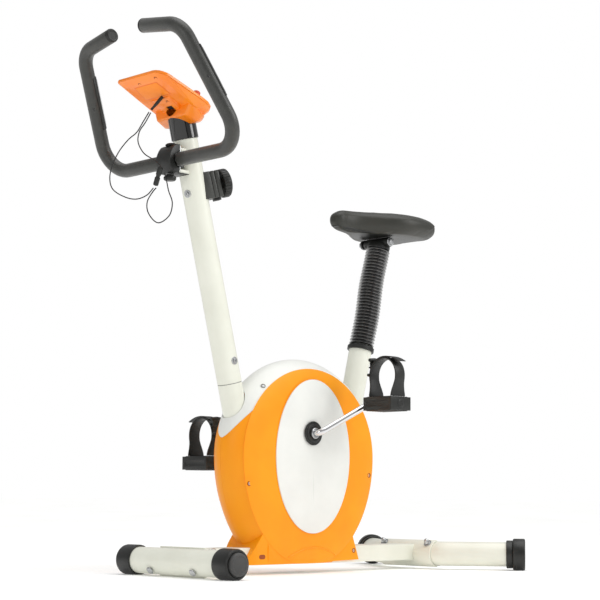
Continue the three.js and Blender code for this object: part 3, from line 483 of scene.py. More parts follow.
def foot_bolt(middle, tilt):
    """A carriage bolt with its round head below and its dome nut above the foot."""
    direction = Vector((math.sin(tilt), 0, math.cos(tilt)))
    start = middle - direction * 34.5
    head = [(0, 0), (2.5, 0.2), (5, 0.9), (7, 2), (8.3, 3.4), (8.5, 4.2), (3.6, 4.2), (3.6, 65.2)]
    washer = [(9.2, 65.2), (9.2, 66.4), (3.6, 66.4)]
    nut = [(6.6, 66.5), (6.6, 71), (5.2, 73), (5.1, 74.2), (4.4, 76), (2.8, 77.2), (0, 77.8)]
    shaft = lathe(start, middle, head + [(0, 65.2)], 32)
    ring = lathe(start, middle, [(3.6, 65.2)] + washer, 32)
    dome = lathe(start, middle, [(0, 66.4)] + nut, 6)
    return together(shaft, ring, dome)


def add_feet():
    tube = lathe((0, -142, FRONT_FOOT_Z), (0, 142, FRONT_FOOT_Z), [(25, 0), (FOOT_TUBE, 0), (FOOT_TUBE, 284), (25, 284)])
    piece("front_foot", tube, "frame", "frame_paint", ["front_foot_tube"])
    line = rear_foot_line(REAR_HALF - 30 * ARM.y)
    piece("rear_foot", bar_along(line, FOOT_TUBE, 25, 64), "frame", "frame_paint", ["rear_foot_tube"])
    for side, sign in SIDES:
        rim, disc = front_cap(sign)
        piece(f"front_{side}_cap_rim", flat_on_floor(rim), "frame", "black_plastic", [f"front_{side}_cap"])
        piece(f"front_{side}_cap_disc", disc, "frame", "black_plastic", material=CAP_FACE)
        body = f"rear_{side}_foot_cap"
        piece(f"rear_{side}_cap", rear_cap(sign), body, "black_plastic", [f"rear_{side}_levelling_cap"])
        for end, x, z, tilt in (("front", 0, FRONT_FOOT_Z, 52), ("rear", REAR_FOOT_X, REAR_FOOT_Z, -42)):
            shape = foot_bolt(Vector((x, sign * 66, z)), math.radians(tilt))
            piece(f"{end}_{side}_foot_bolt", shape, "frame", "steel_zinc", [f"{end}_{side}_bolt"], round_by=0.3)


def saddle_shell(x, z, half, first, last):
    """The curved plate welded to an end of the beam, as a thick arc around the foot's tube."""
    outer = arc_points((x, z), 30.3, first, last, 32)
    inner = arc_points((x, z), 27.3, last, first, 32)
    return prism(outer + inner, -half, half)


def add_beam():
    outline = [(-30, 20), (30, 20), (30, 56), (-30, 56)]
    beam = raw("beam", prism(outline, 25, REAR_FOOT_X - 25, "yz"))
    rounded(beam, 3, 3)
    dress(beam, "frame", "frame_paint", ["base_frame"])
    piece("front_plate", saddle_shell(0, FRONT_FOOT_Z, 69, -82, 82), "frame", "frame_paint", round_by=0.6)
    piece("rear_plate", saddle_shell(REAR_FOOT_X, REAR_FOOT_Z, 80, 98, 262), "frame", "frame_paint", round_by=0.6)


add_feet()
add_beam()


# ---------------------------------------------------------------- posts
POST_RADIUS = 25.5
POST_LOW, POST_SEAM, POST_TOP = 262, 394, 932


def tube_between(low, high, outer, inner, ease=0.8):
    length = (high - low).length
    profile = [(inner, 0), (outer - ease, 0), (outer, ease), (outer, length - ease), (outer - ease, length), (inner, length)]
    return lathe(low, high, profile, 96)


def post_screw(name, z, turn, body="frame", wash=8.2):
    """A socket screw with a wide washer on the post, facing the given way round it."""
    axis = (post_point(z + 10) - post_point(z)).normalized()
    facing = Vector((math.cos(math.radians(turn)), math.sin(math.radians(turn)), 0))
    facing = (facing - axis * facing.dot(axis)).normalized()
    base = post_point(z) + facing * (POST_RADIUS - 1.2)
    washer = [(0, 0), (wash, 0), (wash, 1.6), (wash - 0.6, 2.2), (5.2, 2.2), (5.2, 1.7), (0, 1.7)]
    head = [(0, 1.6), (4.6, 1.6), (4.6, 3.6), (4, 4.4), (2.2, 4.6), (2, 4.6), (2, 2.6), (0, 2.6)]
    piece(f"{name}_washer", lathe(base, base + facing, washer, 40), body, "steel_zinc")
    piece(f"{name}_head", lathe(base, base + facing, head, 32), body, "steel_zinc")


def add_posts():
    upper = tube_between(post_point(POST_SEAM + 0.5), post_point(POST_TOP), POST_RADIUS, 23.5)
    piece("post_tube", upper, "frame", "frame_paint", ["front_post"])
    lower = tube_between(post_point(POST_LOW), post_point(POST_SEAM - 0.2), POST_RADIUS, 23.5)
    piece("post_lower", lower, "frame", "frame_paint", ["post_stub"])
    # A grey cylinder filling the gap between the post tubes: painted shadow of the seam.
    shadow = lathe(post_point(POST_SEAM - 3), post_point(POST_SEAM + 3), [(0, 0), (25.1, 0), (25.1, 6), (0, 6)])
    piece("post_seam_shadow", shadow, "frame", "frame_paint", material=SHADE_GREY)
    seat_low, seat_high = seat_point(300), seat_point(495.6)
    piece("seat_tube_shell", tube_between(seat_low, seat_high, POST_RADIUS, 22.5), "frame", "frame_paint", ["seat_tube"])
    post_screw("upper_post_screw", 782, -169)
    post_screw("lower_post_screw", 438.5, -85)
    post_screw("lower_far_screw", 438.5, 95)


add_posts()


# ---------------------------------------------------------------- handlebar
FOAM_RADIUS = 14.6
LOW_CORNER_Y, TOP_CORNER_Y, TOP_CORNER_Z, TIP_Y, TIP_Z = 215, 157, 1072.3, 53, 1087.4


def bar_corners(sign):
    return [
        bar_point(sign * LOW_CORNER_Y, BAR_Z),
        bar_point(sign * TOP_CORNER_Y, TOP_CORNER_Z),
        bar_point(sign * TIP_Y, TIP_Z),
    ]


def bar_reach(corner):
    return 68 if corner.z < TOP_CORNER_Z - 1 else 32


def sleeve_sector(low, high, inner, outer, middle, half_turn, count=20):
    """Part of a sleeve round the line from low to high, centred on a direction."""
    direction = (high - low).normalized()
    side = (middle - direction * middle.dot(direction)).normalized()
    up = direction.cross(side)
    turns = [math.radians(half_turn) * (2 * k / count - 1) for k in range(count + 1)]
    spokes = [side * math.cos(t) + up * math.sin(t) for t in turns]
    rings = []
    for end in (low, high):
        rings.append([end + spoke * outer for spoke in spokes] + [end + spoke * inner for spoke in reversed(spokes)])
    corners, faces = skin(rings)
    count = len(rings[0])
    return corners, faces + [tuple(range(count)), tuple(range(2 * count - 1, count - 1, -1))]


def add_handlebar():
    tube_line = bent_line(list(reversed(bar_corners(-1))) + bar_corners(1), bar_reach, 12)
    piece("bar_tube", bar_along(tube_line, 11.1, 9.1), "handlebar", "steel_zinc", ["handlebar_tube"])
    for side, sign in SIDES:
        line = bent_line([bar_point(sign * 22.6, BAR_Z)] + bar_corners(sign), bar_reach, 16)
        foam = bar_along(line, FOAM_RADIUS, 11.9, 40)
        piece(f"{side}_grip_foam", foam, "handlebar", "grip_foam", [f"{side}_foam_grip"], round_by=0.8)
        corner, tip = bar_corners(sign)[1:]
        outward = (tip - corner).normalized()
        end = [(0, 0.3), (13.4, 0.3), (14.4, 1), (14.6, 2), (14.2, 3.6), (13, 4.8), (11.4, 5.2), (9, 5.2), (8.4, 4.4), (0, 4.4)]
        piece(f"{side}_bar_end", lathe(tip, tip + outward, end, 48), "handlebar", "black_plastic", [f"{side}_grip_plug"])
        low = bar_point(sign * (LOW_CORNER_Y - 22), BAR_Z + 88)
        high = bar_point(sign * (TOP_CORNER_Y + 11.6), TOP_CORNER_Z - 46)
        inward = Vector((1, -sign * 0.15, 0.2))
        backing = sleeve_sector(low, high, FOAM_RADIUS - 0.4, FOAM_RADIUS + 1.6, inward, 82)
        piece(f"{side}_sensor_backing", backing, "handlebar", "black_plastic", round_by=0.6)
        along = (high - low).normalized()
        rearward = Vector((1, -sign * 0.1, 0.35))
        plate = sleeve_sector(low + along * 7, high - along * 7, FOAM_RADIUS + 0.6, FOAM_RADIUS + 2.4, rearward, 44)
        piece(f"{side}_sensor_plate", plate, "handlebar", "chrome", [f"{side}_pulse_sensor"], round_by=0.5)
        middle = low.lerp(high, 0.42)
        outward = Vector((-0.75, -0.66, 0))
        outward = (outward - along * outward.dot(along)).normalized()
        start = middle + outward * (FOAM_RADIUS - 0.6)
        head = [(0, 0), (3, 0), (3, 0.6), (2.4, 1.2), (1, 1.3), (0.8, 0.8), (0, 0.8)]
        piece(f"{side}_sensor_screw", lathe(start, start + outward, head, 24), "handlebar", "black_gloss")


add_handlebar()


# ---------------------------------------------------------------- handlebar clamp
def add_clamp():
    outline = [(BAR_X - 1.3, BAR_Z - 29), (BAR_X - 1.3, BAR_Z + 30.5)]
    outline += [(BAR_X - 8, BAR_Z + 30.5), (BAR_X - 15, BAR_Z + 27), (BAR_X - 21, BAR_Z + 19.5)]
    outline += [(BAR_X - 25.5, BAR_Z + 10), (BAR_X - 27.6, BAR_Z - 1), (BAR_X - 26, BAR_Z - 11)]
    outline += [(BAR_X - 21, BAR_Z - 20.5), (BAR_X - 13, BAR_Z - 28)]
    cover = raw("clamp_cover", prism(outline, -22, 22))
    bore = raw("bore", lathe((BAR_X, -60, BAR_Z), (BAR_X, 60, BAR_Z), [(0, 0), (15.2, 0), (15.2, 120), (0, 120)], 48))
    carve(cover, bore)
    rounded(cover, 3, 4)
    dress(cover, "frame", "black_plastic", ["handlebar_clamp_cover"])
    for z, name in ((BAR_Z + 20.5, "upper"), (BAR_Z - 24, "lower")):
        arm = box(BAR_X - 0.6, BAR_X + 27, -18, 18, z - 3, z + 5)
        piece(f"{name}_clamp_arm", arm, "frame", "frame_paint", round_by=1.2)
        rim = box(BAR_X + 1, BAR_X + 26, -19.5, 19.5, z - 4.6, z - 2.8)
        piece(f"{name}_clamp_rim", rim, "frame", "black_plastic", round_by=0.5)
    pad = box(BAR_X - 0.8, BAR_X + 12, -20, 20, BAR_Z - 17, BAR_Z + 15.4)
    pad_made = raw("clamp_pad", pad)
    bore = raw("bore", lathe((BAR_X, -60, BAR_Z), (BAR_X, 60, BAR_Z), [(0, 0), (15, 0), (15, 120), (0, 120)], 48))
    carve(pad_made, bore)
    rounded(pad_made, 0.8)
    dress(pad_made, "frame", "black_plastic")
    edge = box(BAR_X - 1.2, BAR_X - 0.1, -23, 23, BAR_Z - 24, BAR_Z + 27)
    edge_made = raw("clamp_edge", edge)
    bore = raw("bore", lathe((BAR_X, -60, BAR_Z), (BAR_X, 60, BAR_Z), [(0, 0), (15.4, 0), (15.4, 120), (0, 120)], 48))
    carve(edge_made, bore)
    dress(edge_made, "frame", "steel_zinc")
    x = BAR_X - 8
    knob = [(0, 0), (8, 0), (8, 2.6), (11, 3.4), (12.6, 4.6), (13, 6), (13, 9), (12.2, 11), (10, 12.6), (7, 13), (0, 13)]
    low = (x, 0, BAR_Z - 30.3)
    piece("clamp_knob_body", lathe(low, (x, 0, 0), knob, 48), "clamp_knob", "black_plastic", ["handlebar_clamp_knob"])
    cap = [(0, 0), (10.5, 0), (12, 1.4), (11.4, 3.6), (8, 5.6), (0, 6.4)]
    piece("clamp_top_cap", lathe((x + 2, 0, BAR_Z + 29), (x - 1, 0, BAR_Z + 90), cap, 48), "frame", "black_plastic")


add_clamp()


# ---------------------------------------------------------------- casing
CASE_X, CASE_Z, RING, CROWN, CASE_HALF, CASE_FACE = 318, 246, 192, 215, 47.5, 51
STRETCH_LOW, STRETCH_TOP = 1.2, 0.97
CASE_WALL = 2.5
RIM_HALF = 45.3


def drum(margin):
    """The casing's crowned drum with slightly domed sides, a little taller below than above."""
    profile = [(0, -CASE_FACE - margin), (70, -CASE_FACE - margin), (118, -CASE_FACE - margin)]
    profile += [(150, 1 - CASE_FACE - margin), (180, 2.2 - CASE_FACE - margin), (192 + margin, 1.5 - CASE_HALF - margin)]
    steps = 16
    crown_half = CASE_HALF - 2.5
    for i in range(steps + 1):
        y = crown_half * (2 * i / steps - 1)
        profile.append((RING - 1 + (CROWN - RING + 1) * (1 - (y / crown_half) ** 2) + margin, y))
    profile += [(192 + margin, CASE_HALF - 1.5 + margin), (180, CASE_FACE - 2.2 + margin), (150, CASE_FACE - 1 + margin)]
    profile += [(118, CASE_FACE + margin), (70, CASE_FACE + margin), (0, CASE_FACE + margin)]

    def stretched(corner):
        stretch = STRETCH_LOW if corner.z < CASE_Z else STRETCH_TOP
        return Vector((corner.x, corner.y, CASE_Z + (corner.z - CASE_Z) * stretch))

    return moved(lathe((CASE_X, 0, CASE_Z), (CASE_X, 1, CASE_Z), profile, 144), stretched)


CASE_FOOT = [(138, 18), (468, 26), (449, 77), (440, 130), (196, 130), (182, 84), (166, 62)]
FOOT_HALF = 44.2


def casing_foot():
    """The foot of the casing, with a rounded nose at the front."""
    foot = raw("casing_foot", prism(CASE_FOOT, -60, 60))
    nose = arc_points((172, -9.8), 36, 180, 270, 10)
    plan = nose + [(480, -FOOT_HALF), (480, FOOT_HALF)] + [(x, -y) for x, y in reversed(nose)]
    return carve(foot, raw("plan", prism(plan, 0, 150, "xy")), "INTERSECT")


def top_room(margin):
    """The room of the white cover: a band between both rims that ends in a U around the post."""
    half = RIM_HALF - margin
    band = [(150, 338), (460, 338), (520, 300), (620, 300), (620, 540), (150, 540)]
    room = raw("band", prism([(x, z + margin) for x, z in band], -half, half))
    bowl = [(half * k / 20, 281 + margin + 57 * abs(k / 20) ** 1.7) for k in range(-20, 21)]
    front = raw("bowl", prism(bowl + [(half, 540), (-half, 540)], 40, 176, "yz"))
    return carve(room, front, "UNION")


def copy_of(made, name):
    twin = made.copy()
    twin.data = made.data.copy()
    twin.name = name
    bpy.context.collection.objects.link(twin)
    return twin


def oval(scale_by, count=120):
    turns = [2 * math.pi * k / count for k in range(count)]
    return [(321 + (109 + scale_by) * math.cos(t), 246.5 + (163 + scale_by) * math.sin(t)) for t in turns]


def add_casing():
    shell = raw("casing", drum(0))
    carve(shell, casing_foot(), "UNION")
    carve(shell, raw("below", box(-200, 900, -200, 200, -100, 21)))
    carve(shell, raw("inside", drum(-CASE_WALL)))
    for low, high in ((post_point(180), post_point(520)), (seat_point(180), seat_point(620))):
        tube_room = [(0, 0), (POST_RADIUS + 1.3, 0), (POST_RADIUS + 1.3, 440), (0, 440)]
        carve(shell, raw("tube_room", lathe(low, high, tube_room, 64)))
    top = copy_of(shell, "white_top_cover")
    carve(top, top_room(0.4), "INTERSECT")
    dress(top, "frame", "casing_white", ["top_cover"], angle=32)
    carve(shell, top_room(0))
    for side, sign in SIDES:
        cover = copy_of(shell, f"{side}_orange_cover")
        low, high = sorted((sign * 0.15, sign * 200))
        carve(cover, raw("half", box(-200, 900, low, high, -100, 700)), "INTERSECT")
        dress(cover, "frame", "casing_orange", [f"{side}_cover"], angle=32)
        low, high = sorted((sign * (CASE_FACE - 0.6), sign * (CASE_FACE + 2.1)))
        panel = raw(f"{side}_white_oval", prism(oval(0), low, high))
        axle = lathe((316, -90, 294.5), (316, 90, 294.5), [(0, 0), (12, 0), (12, 180), (0, 180)], 40)
        carve(panel, raw("axle_room", axle))
        rounded(panel, 0.9, 3)
        dress(panel, "frame", "casing_white", [f"{side}_oval_panel"])
        low, high = sorted((sign * (CASE_FACE - 0.6), sign * (CASE_FACE + 0.45)))
        lip = raw(f"{side}_oval_lip", prism(oval(2.4), low, high))
        carve(lip, raw("oval_room", prism(oval(0.5), -90, 90)))
        dress(lip, "frame", "casing_orange")
    bpy.data.objects.remove(shell)


def side_height(x, z):
    """How far the drum's side stands from the middle plane at a place on it."""
    stretch = STRETCH_LOW if z < CASE_Z else STRETCH_TOP
    reach = math.hypot(x - CASE_X, (z - CASE_Z) / stretch)
    return between([(118, 51), (150, 50), (180, 48.8), (192, 46)], reach)


def casing_screw(name, place, out, dark):
    """A sunk screw: a countersink in painted shade, darker than the casing, with a small cross-headed screw in it."""
    base = place - out * 1.2
    rim = [(3.4, 0), (5.2, 0), (5.2, 1.5), (4.7, 1.7), (3.6, 1.1), (3.4, 1.1)]
    piece(f"{name}_sink", lathe(base, base + out, rim, 32), "frame", "casing_orange", material=dark)
    head = [(0, 0), (3.3, 0), (3.3, 0.7), (2.4, 1.2), (1, 1.3), (0.9, 0.9), (0, 0.9)]
    piece(f"{name}_head", lathe(base, base + out, head, 24), "frame", "steel_zinc")


def add_casing_trim():
    for side, sign in SIDES:
        outward = Vector((0, sign, 0))
        casing_screw(f"{side}_ring_screw", Vector((141.5, sign * side_height(141.5, 187), 187)), outward, RECESS_SHADE)
        casing_screw(f"{side}_rear_screw", Vector((495, sign * side_height(495, 208), 208)), outward, RECESS_SHADE)
        casing_screw(f"{side}_base_screw", Vector((452, sign * 44.5, 45.5)), outward, RECESS_SHADE)
        crown_out = Vector((-0.665, sign * 0.891, 0.77)).normalized()
        casing_screw(f"{side}_top_screw", Vector((186, sign * 38.1, 389.8)), crown_out, SHADE_GREY)
        base = Vector((180.6, sign * 45, 37.3))
        outline = arc_points((176.6, 37.3), 4.6, 90, 270, 14) + arc_points((184.6, 37.3), 4.6, -90, 90, 14)
        low, high = sorted((base.y, base.y + sign * 1.3))
        # The base slot is a thin raised outline in painted shade, standing in for the slot's recess.
        piece(f"{side}_base_slot_shade", prism(outline, low, high), "frame", "casing_orange", material=RECESS_SHADE, round_by=0.4)
        crest = [(252, 34), (262, 39.5), (276, 45), (289.8, 49.5), (308, 53), (329, 54.7), (350, 53), (370, 47.5), (388, 40), (396, 35)]
        ridge = [Vector((x, sign * side_height(x, z), z)) for x, z in crest]
        line = smooth_route(ridge, 5)
        piece(f"{side}_base_ridge", bar_along(line, 1.5, sides=12, round_ends=1), "frame", "casing_orange")
        rib = [Vector((198, sign * 45.6, z)) for z in (26, 40, 54, 66)]
        piece(f"{side}_base_rib", bar_along(rib, 1.8, sides=12, round_ends=1), "frame", "casing_orange")
        groove = [(0, 0), (0.7, 20), (1.3, 55), (0.7, 85), (0, 105)]
        start = Vector((321, sign * (CASE_FACE + 1.6), 128))
        piece(f"{side}_oval_ridge", lathe(start, start + Vector((0, 0, 1)), groove, 24), "frame", "casing_white")


# Dark orange-brown used as painted shade in recesses: the casing and console countersinks, the console's screw heads
# and the casing's base slots.
RECESS_SHADE = surface("recess_shade_orange", "8f3d05", "a24a08", (0.5, 0.6), grain=900, bump=0.1)
add_casing()
add_casing_trim()


# ---------------------------------------------------------------- drive
CRANK_X, CRANK_Z, CRANK_LENGTH, CRANK_TURN = 316, 294.5, 126.5, math.radians(29.9)


def crank_end(sign):
    reach = CRANK_LENGTH * sign
    return Vector((CRANK_X - reach * math.cos(CRANK_TURN), 0, CRANK_Z - reach * math.sin(CRANK_TURN)))


def add_drive():
    corners = []
    for side, sign in SIDES:
        end = crank_end(sign)
        half = [
            Vector((end.x, sign * 200, end.z)),
            Vector((end.x, sign * 110, end.z)),
            Vector((CRANK_X, sign * 76, CRANK_Z)),
        ]
        corners += half if sign < 0 else reversed(half)
    line = bent_line(corners, lambda corner: 15, 12)
    piece("crank_arms", bar_along(line, 7, sides=40, round_ends=1), "crank", "chrome", ["crank_bar"])
    for side, sign in SIDES:
        start = Vector((CRANK_X, sign * (CASE_FACE + 4.2), CRANK_Z))
        disc = [(7.6, 0), (25, 0), (25.5, 0.8), (25.5, 1.8), (24.6, 2.6), (22.6, 2.8), (22, 2.2), (20.4, 2.2), (19.8, 3.4)]
        disc += [(17.6, 4.2), (15.6, 4), (15, 3.2), (12.4, 3.2), (11.8, 4.8), (10.6, 5.5), (7.6, 5.5)]
        shape = lathe(start, start + Vector((0, sign, 0)), disc, 96)
        piece(f"{side}_hub_cover", shape, "crank", "black_plastic", [f"{side}_hub_disc"])
        nut = [(7.2, 4), (11.6, 4), (11.6, 8), (10.6, 9.2), (7.2, 9.2)]
        shape = lathe(start, start + Vector((0, sign, 0)), nut, 48)
        piece(f"{side}_hub_collar", shape, "crank", "steel_zinc", round_by=0.3)


add_drive()


# ---------------------------------------------------------------- pedals
PEDAL_INNER, PEDAL_WIDTH, PEDAL_LENGTH, PEDAL_THICK = 126.8, 81, 62, 31


STRAP_HALF = [(-31, -1), (-31.5, 10), (-34, 24), (-37, 38), (-36.5, 52), (-30.5, 66), (-17, 77.5), (0, 81)]
STRAP_TAIL = [(-24, 77), (-8, 83.4), (12, 83.8), (28, 80), (43, 73)]


def strap_line(points, sign, base):
    """The middle line of a band over the foot, with y measured outwards from the pedal's middle."""
    middle = PEDAL_INNER + PEDAL_WIDTH / 2
    return smooth_route([Vector((0, sign * (middle + y), base + z)) for y, z in points], 5)


def band(line, x, half, thick, foot=0.0):
    """A flat band along a line in a plane across the bike, wider at its ends by the foot."""
    rings = []
    for i, point in enumerate(line):
        before, after = line[max(i - 1, 0)], line[min(i + 1, len(line) - 1)]
        direction = (after - before).normalized()
        out = Vector((0, -direction.z, direction.y)) * thick / 2
        to_end = min(i, len(line) - 1 - i) / len(line)
        flare = 0.5 + 0.5 * math.cos(math.pi * min(to_end / 0.2, 1))
        wide = Vector((half + foot * flare, 0, 0))
        centre = Vector((x, point.y, point.z))
        rings.append([centre - wide - out, centre + wide - out, centre + wide + out, centre - wide + out])
    corners, faces = skin(rings)
    last = 4 * len(line)
    return corners, faces + [(3, 2, 1, 0), (last - 4, last - 3, last - 2, last - 1)]


def add_pedals():
    for side, sign in SIDES:
        body = f"{side}_pedal_body"
        end = crank_end(sign)
        low_y, high_y = sorted((sign * (PEDAL_INNER + 0.5), sign * (PEDAL_INNER + PEDAL_WIDTH - 0.5)))
        half = PEDAL_LENGTH / 2
        block = raw(f"{side}_pedal_block", box(end.x - half, end.x + half, low_y, high_y, end.z - 14.2, end.z + 14.2))
        spindle = lathe((end.x, sign * 100, end.z), (end.x, sign * 201, end.z), [(0, 0), (7.5, 0), (7.5, 101), (0, 101)], 32)
        carve(block, raw("spindle_room", spindle))
        for x in (-half, half):
            groove = box(end.x + x - 1.2, end.x + x + 1.2, low_y + 8, high_y - 8, end.z - 5, end.z + 5)
            carve(block, raw("groove", groove))
        rounded(block, 2.4, 3)
        dress(block, body, "black_plastic", [f"{side}_pedal"])
        for k in range(7):
            x = end.x + (k - 3) * 8.2
            for up in (-1, 1):
                low_z, high_z = sorted((end.z + up * 13.6, end.z + up * 15.4))
                tread = box(x - 1.5, x + 1.5, low_y + 5, high_y - 5, low_z, high_z)
                piece(f"{side}_tread_{k}_{up + 1}", tread, body, "black_rubber", round_by=0.6)
        cap_base = Vector((end.x, sign * (PEDAL_INNER + PEDAL_WIDTH - 1), end.z))
        cap = [(0, 0), (9.5, 0), (9.5, 0.9), (8.6, 1.4), (5, 1.5), (4.6, 1.1), (0, 1.1)]
        piece(f"{side}_pedal_cap", lathe(cap_base, cap_base + Vector((0, sign, 0)), cap, 40), body, "black_rubber")
        base = end.z + PEDAL_THICK / 2 + 1.3
        line = strap_line(STRAP_HALF + [(-y, z) for y, z in reversed(STRAP_HALF[:-1])], sign, base)
        strap = band(line, end.x, 14.5, 2.8, foot=7.5)
        piece(f"{side}_foot_strap", strap, body, "black_rubber", [f"{side}_pedal_strap"], round_by=0.7, angle=40)
        tail = band(strap_line(STRAP_TAIL, sign, base), end.x, 12, 2.2)
        piece(f"{side}_strap_tail", tail, body, "black_rubber", round_by=0.6, angle=40)
        for number, (inset, z, size) in enumerate(((-36.5, 78, 5.2), (-41, 46, 4.6), (-37.5, 62, 3))):
            y = sign * (PEDAL_INNER + PEDAL_WIDTH / 2 + inset)
            bar = [Vector((end.x + x, y, base + z)) for x in (-16, 0, 16)]
            shape = bar_along(bar, size, sides=24, round_ends=1.5)
            piece(f"{side}_buckle_{number}", shape, body, "black_rubber", round_by=1)
        plate = [Vector((0, sign * (PEDAL_INNER + PEDAL_WIDTH / 2 + y), base + z)) for y, z in BUCKLE]
        piece(f"{side}_buckle_plate", band(smooth_route(plate, 4), end.x, 12, 3), body, "black_plastic", round_by=0.8)


BUCKLE = [(-41, 45), (-38.2, 54), (-37.4, 63), (-38, 72), (-36, 79)]
add_pedals()


# ---------------------------------------------------------------- seat post
def add_bellows():
    """The ribbed boot round the seat post."""
    low, high = seat_point(497), seat_point(721.5)
    length, ribs = (high - low).length, 31
    pitch = length / ribs
    outside, inside = [(26.2, 0), (27.4, 0.4)], [(24.9, 0)]
    for k in range(ribs):
        start = k * pitch
        peak = 28.4 - 0.8 * k / ribs
        for turn in range(0, 360, 45):
            wave = 0.5 - 0.5 * math.cos(math.radians(turn))
            outside.append((23.4 + (peak - 23.4) * wave, start + turn / 360 * pitch))
        inside += [(21.9, start + 0.04 * pitch), (25.6, start + 0.5 * pitch)]
    outside.append((23.4, length))
    inside.append((21.9, length))

    def slack(corner):
        part = (corner.z - 497) / 225
        shift = 2.2 * math.sin(math.pi * part) * math.sin(math.pi * (2 * part - 1.04) + 0.4)
        return corner + Vector((-0.7 * shift, 0.7 * shift, 0))

    made = raw("seat_boot", moved(lathe(low, high, outside + inside[::-1], 72), slack))
    dress(made, None, "black_gloss", ["seat_bellows"], material=BOOT, angle=60)
    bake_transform(made)
    post = [(17.4, 0), (18.4, 0), (19, 0.6), (19, 321), (17.4, 321)]
    piece("seat_post_tube", lathe(seat_point(412), seat_point(900), post, 64), "seat", "chrome", ["seat_post"])
    collar = [(25.7, 0), (29.4, 0), (30, 0.7), (30, 8.4), (29.4, 9), (25.7, 9)]
    piece("boot_collar", lathe(seat_point(486), seat_point(900), collar), "frame", "black_rubber")


def add_saddle_clamp():
    cup = [(19.3, 0), (25, 0), (26, 1), (26, 9), (24.4, 12.2), (19.3, 12.2)]
    piece("clamp_cup", lathe(seat_point(723.3), seat_point(900), cup, 64), "seat", "black_plastic", ["saddle_clamp"])
    centre = seat_point(738)
    barrel = [(0, 0), (10.4, 0), (11.4, 1), (11.4, 66.4), (10.4, 67.4), (0, 67.4)]
    start = centre + Vector((0, -33.7, 0))
    piece("clamp_barrel", lathe(start, centre, barrel, 48), "seat", "black_plastic")
    for side, sign, reach in (("left", -1, 34), ("right", 1, 50)):
        nut_start = centre + Vector((0, sign * reach, 0))
        washer = lathe(nut_start, nut_start + Vector((0, sign, 0)), [(0, 0), (10.2, 0), (10.2, 1.6), (0, 1.6)], 40)
        nut = lathe(nut_start, nut_start + Vector((0, sign, 0)), [(0, 1.5), (7.6, 1.5), (7.9, 2), (7.9, 6.4), (7.2, 7), (0, 7)], 6)
        shape = together(washer, nut)
        name = f"{side}_clamp_nut"
        piece(name, shape, "seat", "steel_zinc", ["saddle_clamp_bolt"] if sign < 0 else (), round_by=0.3)
    lug = [(0, 0), (10.4, 0), (11, 0.6), (11, 5), (8, 6.4), (8, 9.6), (11, 11), (11, 15.3), (10.4, 15.9), (0, 15.9)]
    lug_start = centre + Vector((0, 34, 0))
    piece("clamp_lug", lathe(lug_start, lug_start + Vector((0, 1, 0)), lug, 40), "seat", "black_gloss")


BOOT = surface("boot_black", "050505", "090908", (0.16, 0.22), coat=1.0, level=1.0, grain=900, bump=0.06)
add_bellows()
add_saddle_clamp()


# ---------------------------------------------------------------- saddle
NOSE_X, REAR_X, SADDLE_TOP = 420.5, 699.5, 797.5
FLARE = [((446, 25), (520, 28), (540, 103), (610, 103)), ((610, 103), (670, 103), (698, 91), (698, 48))]


def flare_points():
    points = [(446 - 25.5 * math.cos(t * math.pi / 2), 25 * math.sin(t * math.pi / 2)) for t in (0, 0.2, 0.4, 0.6, 0.8)]
    for a, b, c, d in FLARE:
        for k in range(20):
            t = k / 20
            s = 1 - t
            points.append(tuple(a[i] * s**3 + b[i] * 3 * s * s * t + c[i] * 3 * s * t * t + d[i] * t**3 for i in (0, 1)))
    return points + [(698, 48), (REAR_X, 40)]


def lofted(stations, power):
    """Rounded sections across the saddle, given as (x, half width, low, high)."""
    rings = []
    for x, half, low, high in stations:
        middle, rise = (low + high) / 2, (high - low) / 2
        ring = []
        for k in range(64):
            t = 2 * math.pi * k / 64
            across, up = math.cos(t), math.sin(t)
            y = half * math.copysign(abs(across) ** power, across)
            z = middle + rise * math.copysign(abs(up) ** (power if up > 0 else 0.75), up)
            ring.append(Vector((x, y, z)))
        rings.append(ring)
    corners, faces = skin(rings)
    last = len(corners) - 64
    return corners, faces + [tuple(range(63, -1, -1)), tuple(range(last, last + 64))]


def cushion_stations(inset):
    outline = flare_points()
    stations = []
    count = 44
    for k in range(count + 1):
        x = NOSE_X + inset + (REAR_X - NOSE_X - 2 * inset) * k / count
        half = max(between(outline, x) - inset, 2)
        nose = min((x - NOSE_X - inset + 3) / 20, 1)
        rear = min((REAR_X - inset + 4 - x) / 16, 1)
        edge = math.sqrt(1 - (1 - nose) ** 2) * math.sqrt(1 - (1 - rear) ** 2)
        high = between([(NOSE_X, 794), (450, 797), (500, 798.5), (560, 798.5), (640, 797.5), (REAR_X, 795)], x)
        low = between([(NOSE_X, 762), (450, 758), (500, 752.5), (540, 750.6), (REAR_X, 751)], x)
        middle = low + (high - low) * 0.45
        stations.append((x, half, middle + (low - middle) * edge, middle + (high - inset - middle) * edge))
    return stations


def inflate(made, cap):
    """Swells a closed pad with Cloth pressure, moving no point further than the cap in millimetres."""
    change = made.modifiers.new("even", "REMESH")
    change.mode = "VOXEL"
    change.voxel_size = 0.005
    settle(made)
    start = [corner.co.copy() for corner in made.data.vertices]
    cloth = made.modifiers.new("cloth", "CLOTH")
    cloth.settings.use_pressure = True
    cloth.settings.uniform_pressure_force = 4
    cloth.settings.effector_weights.gravity = 0
    cloth.settings.quality = 6
    for number in range(1, 21):
        bpy.context.scene.frame_set(number)
    settle(made)
    for corner, before in zip(made.data.vertices, start):
        move = corner.co - before
        if move.length > cap / 1000:
            corner.co = before + move.normalized() * cap / 1000
        corner.co.z = max(corner.co.z, 0.7506)
    bpy.context.scene.frame_set(1)


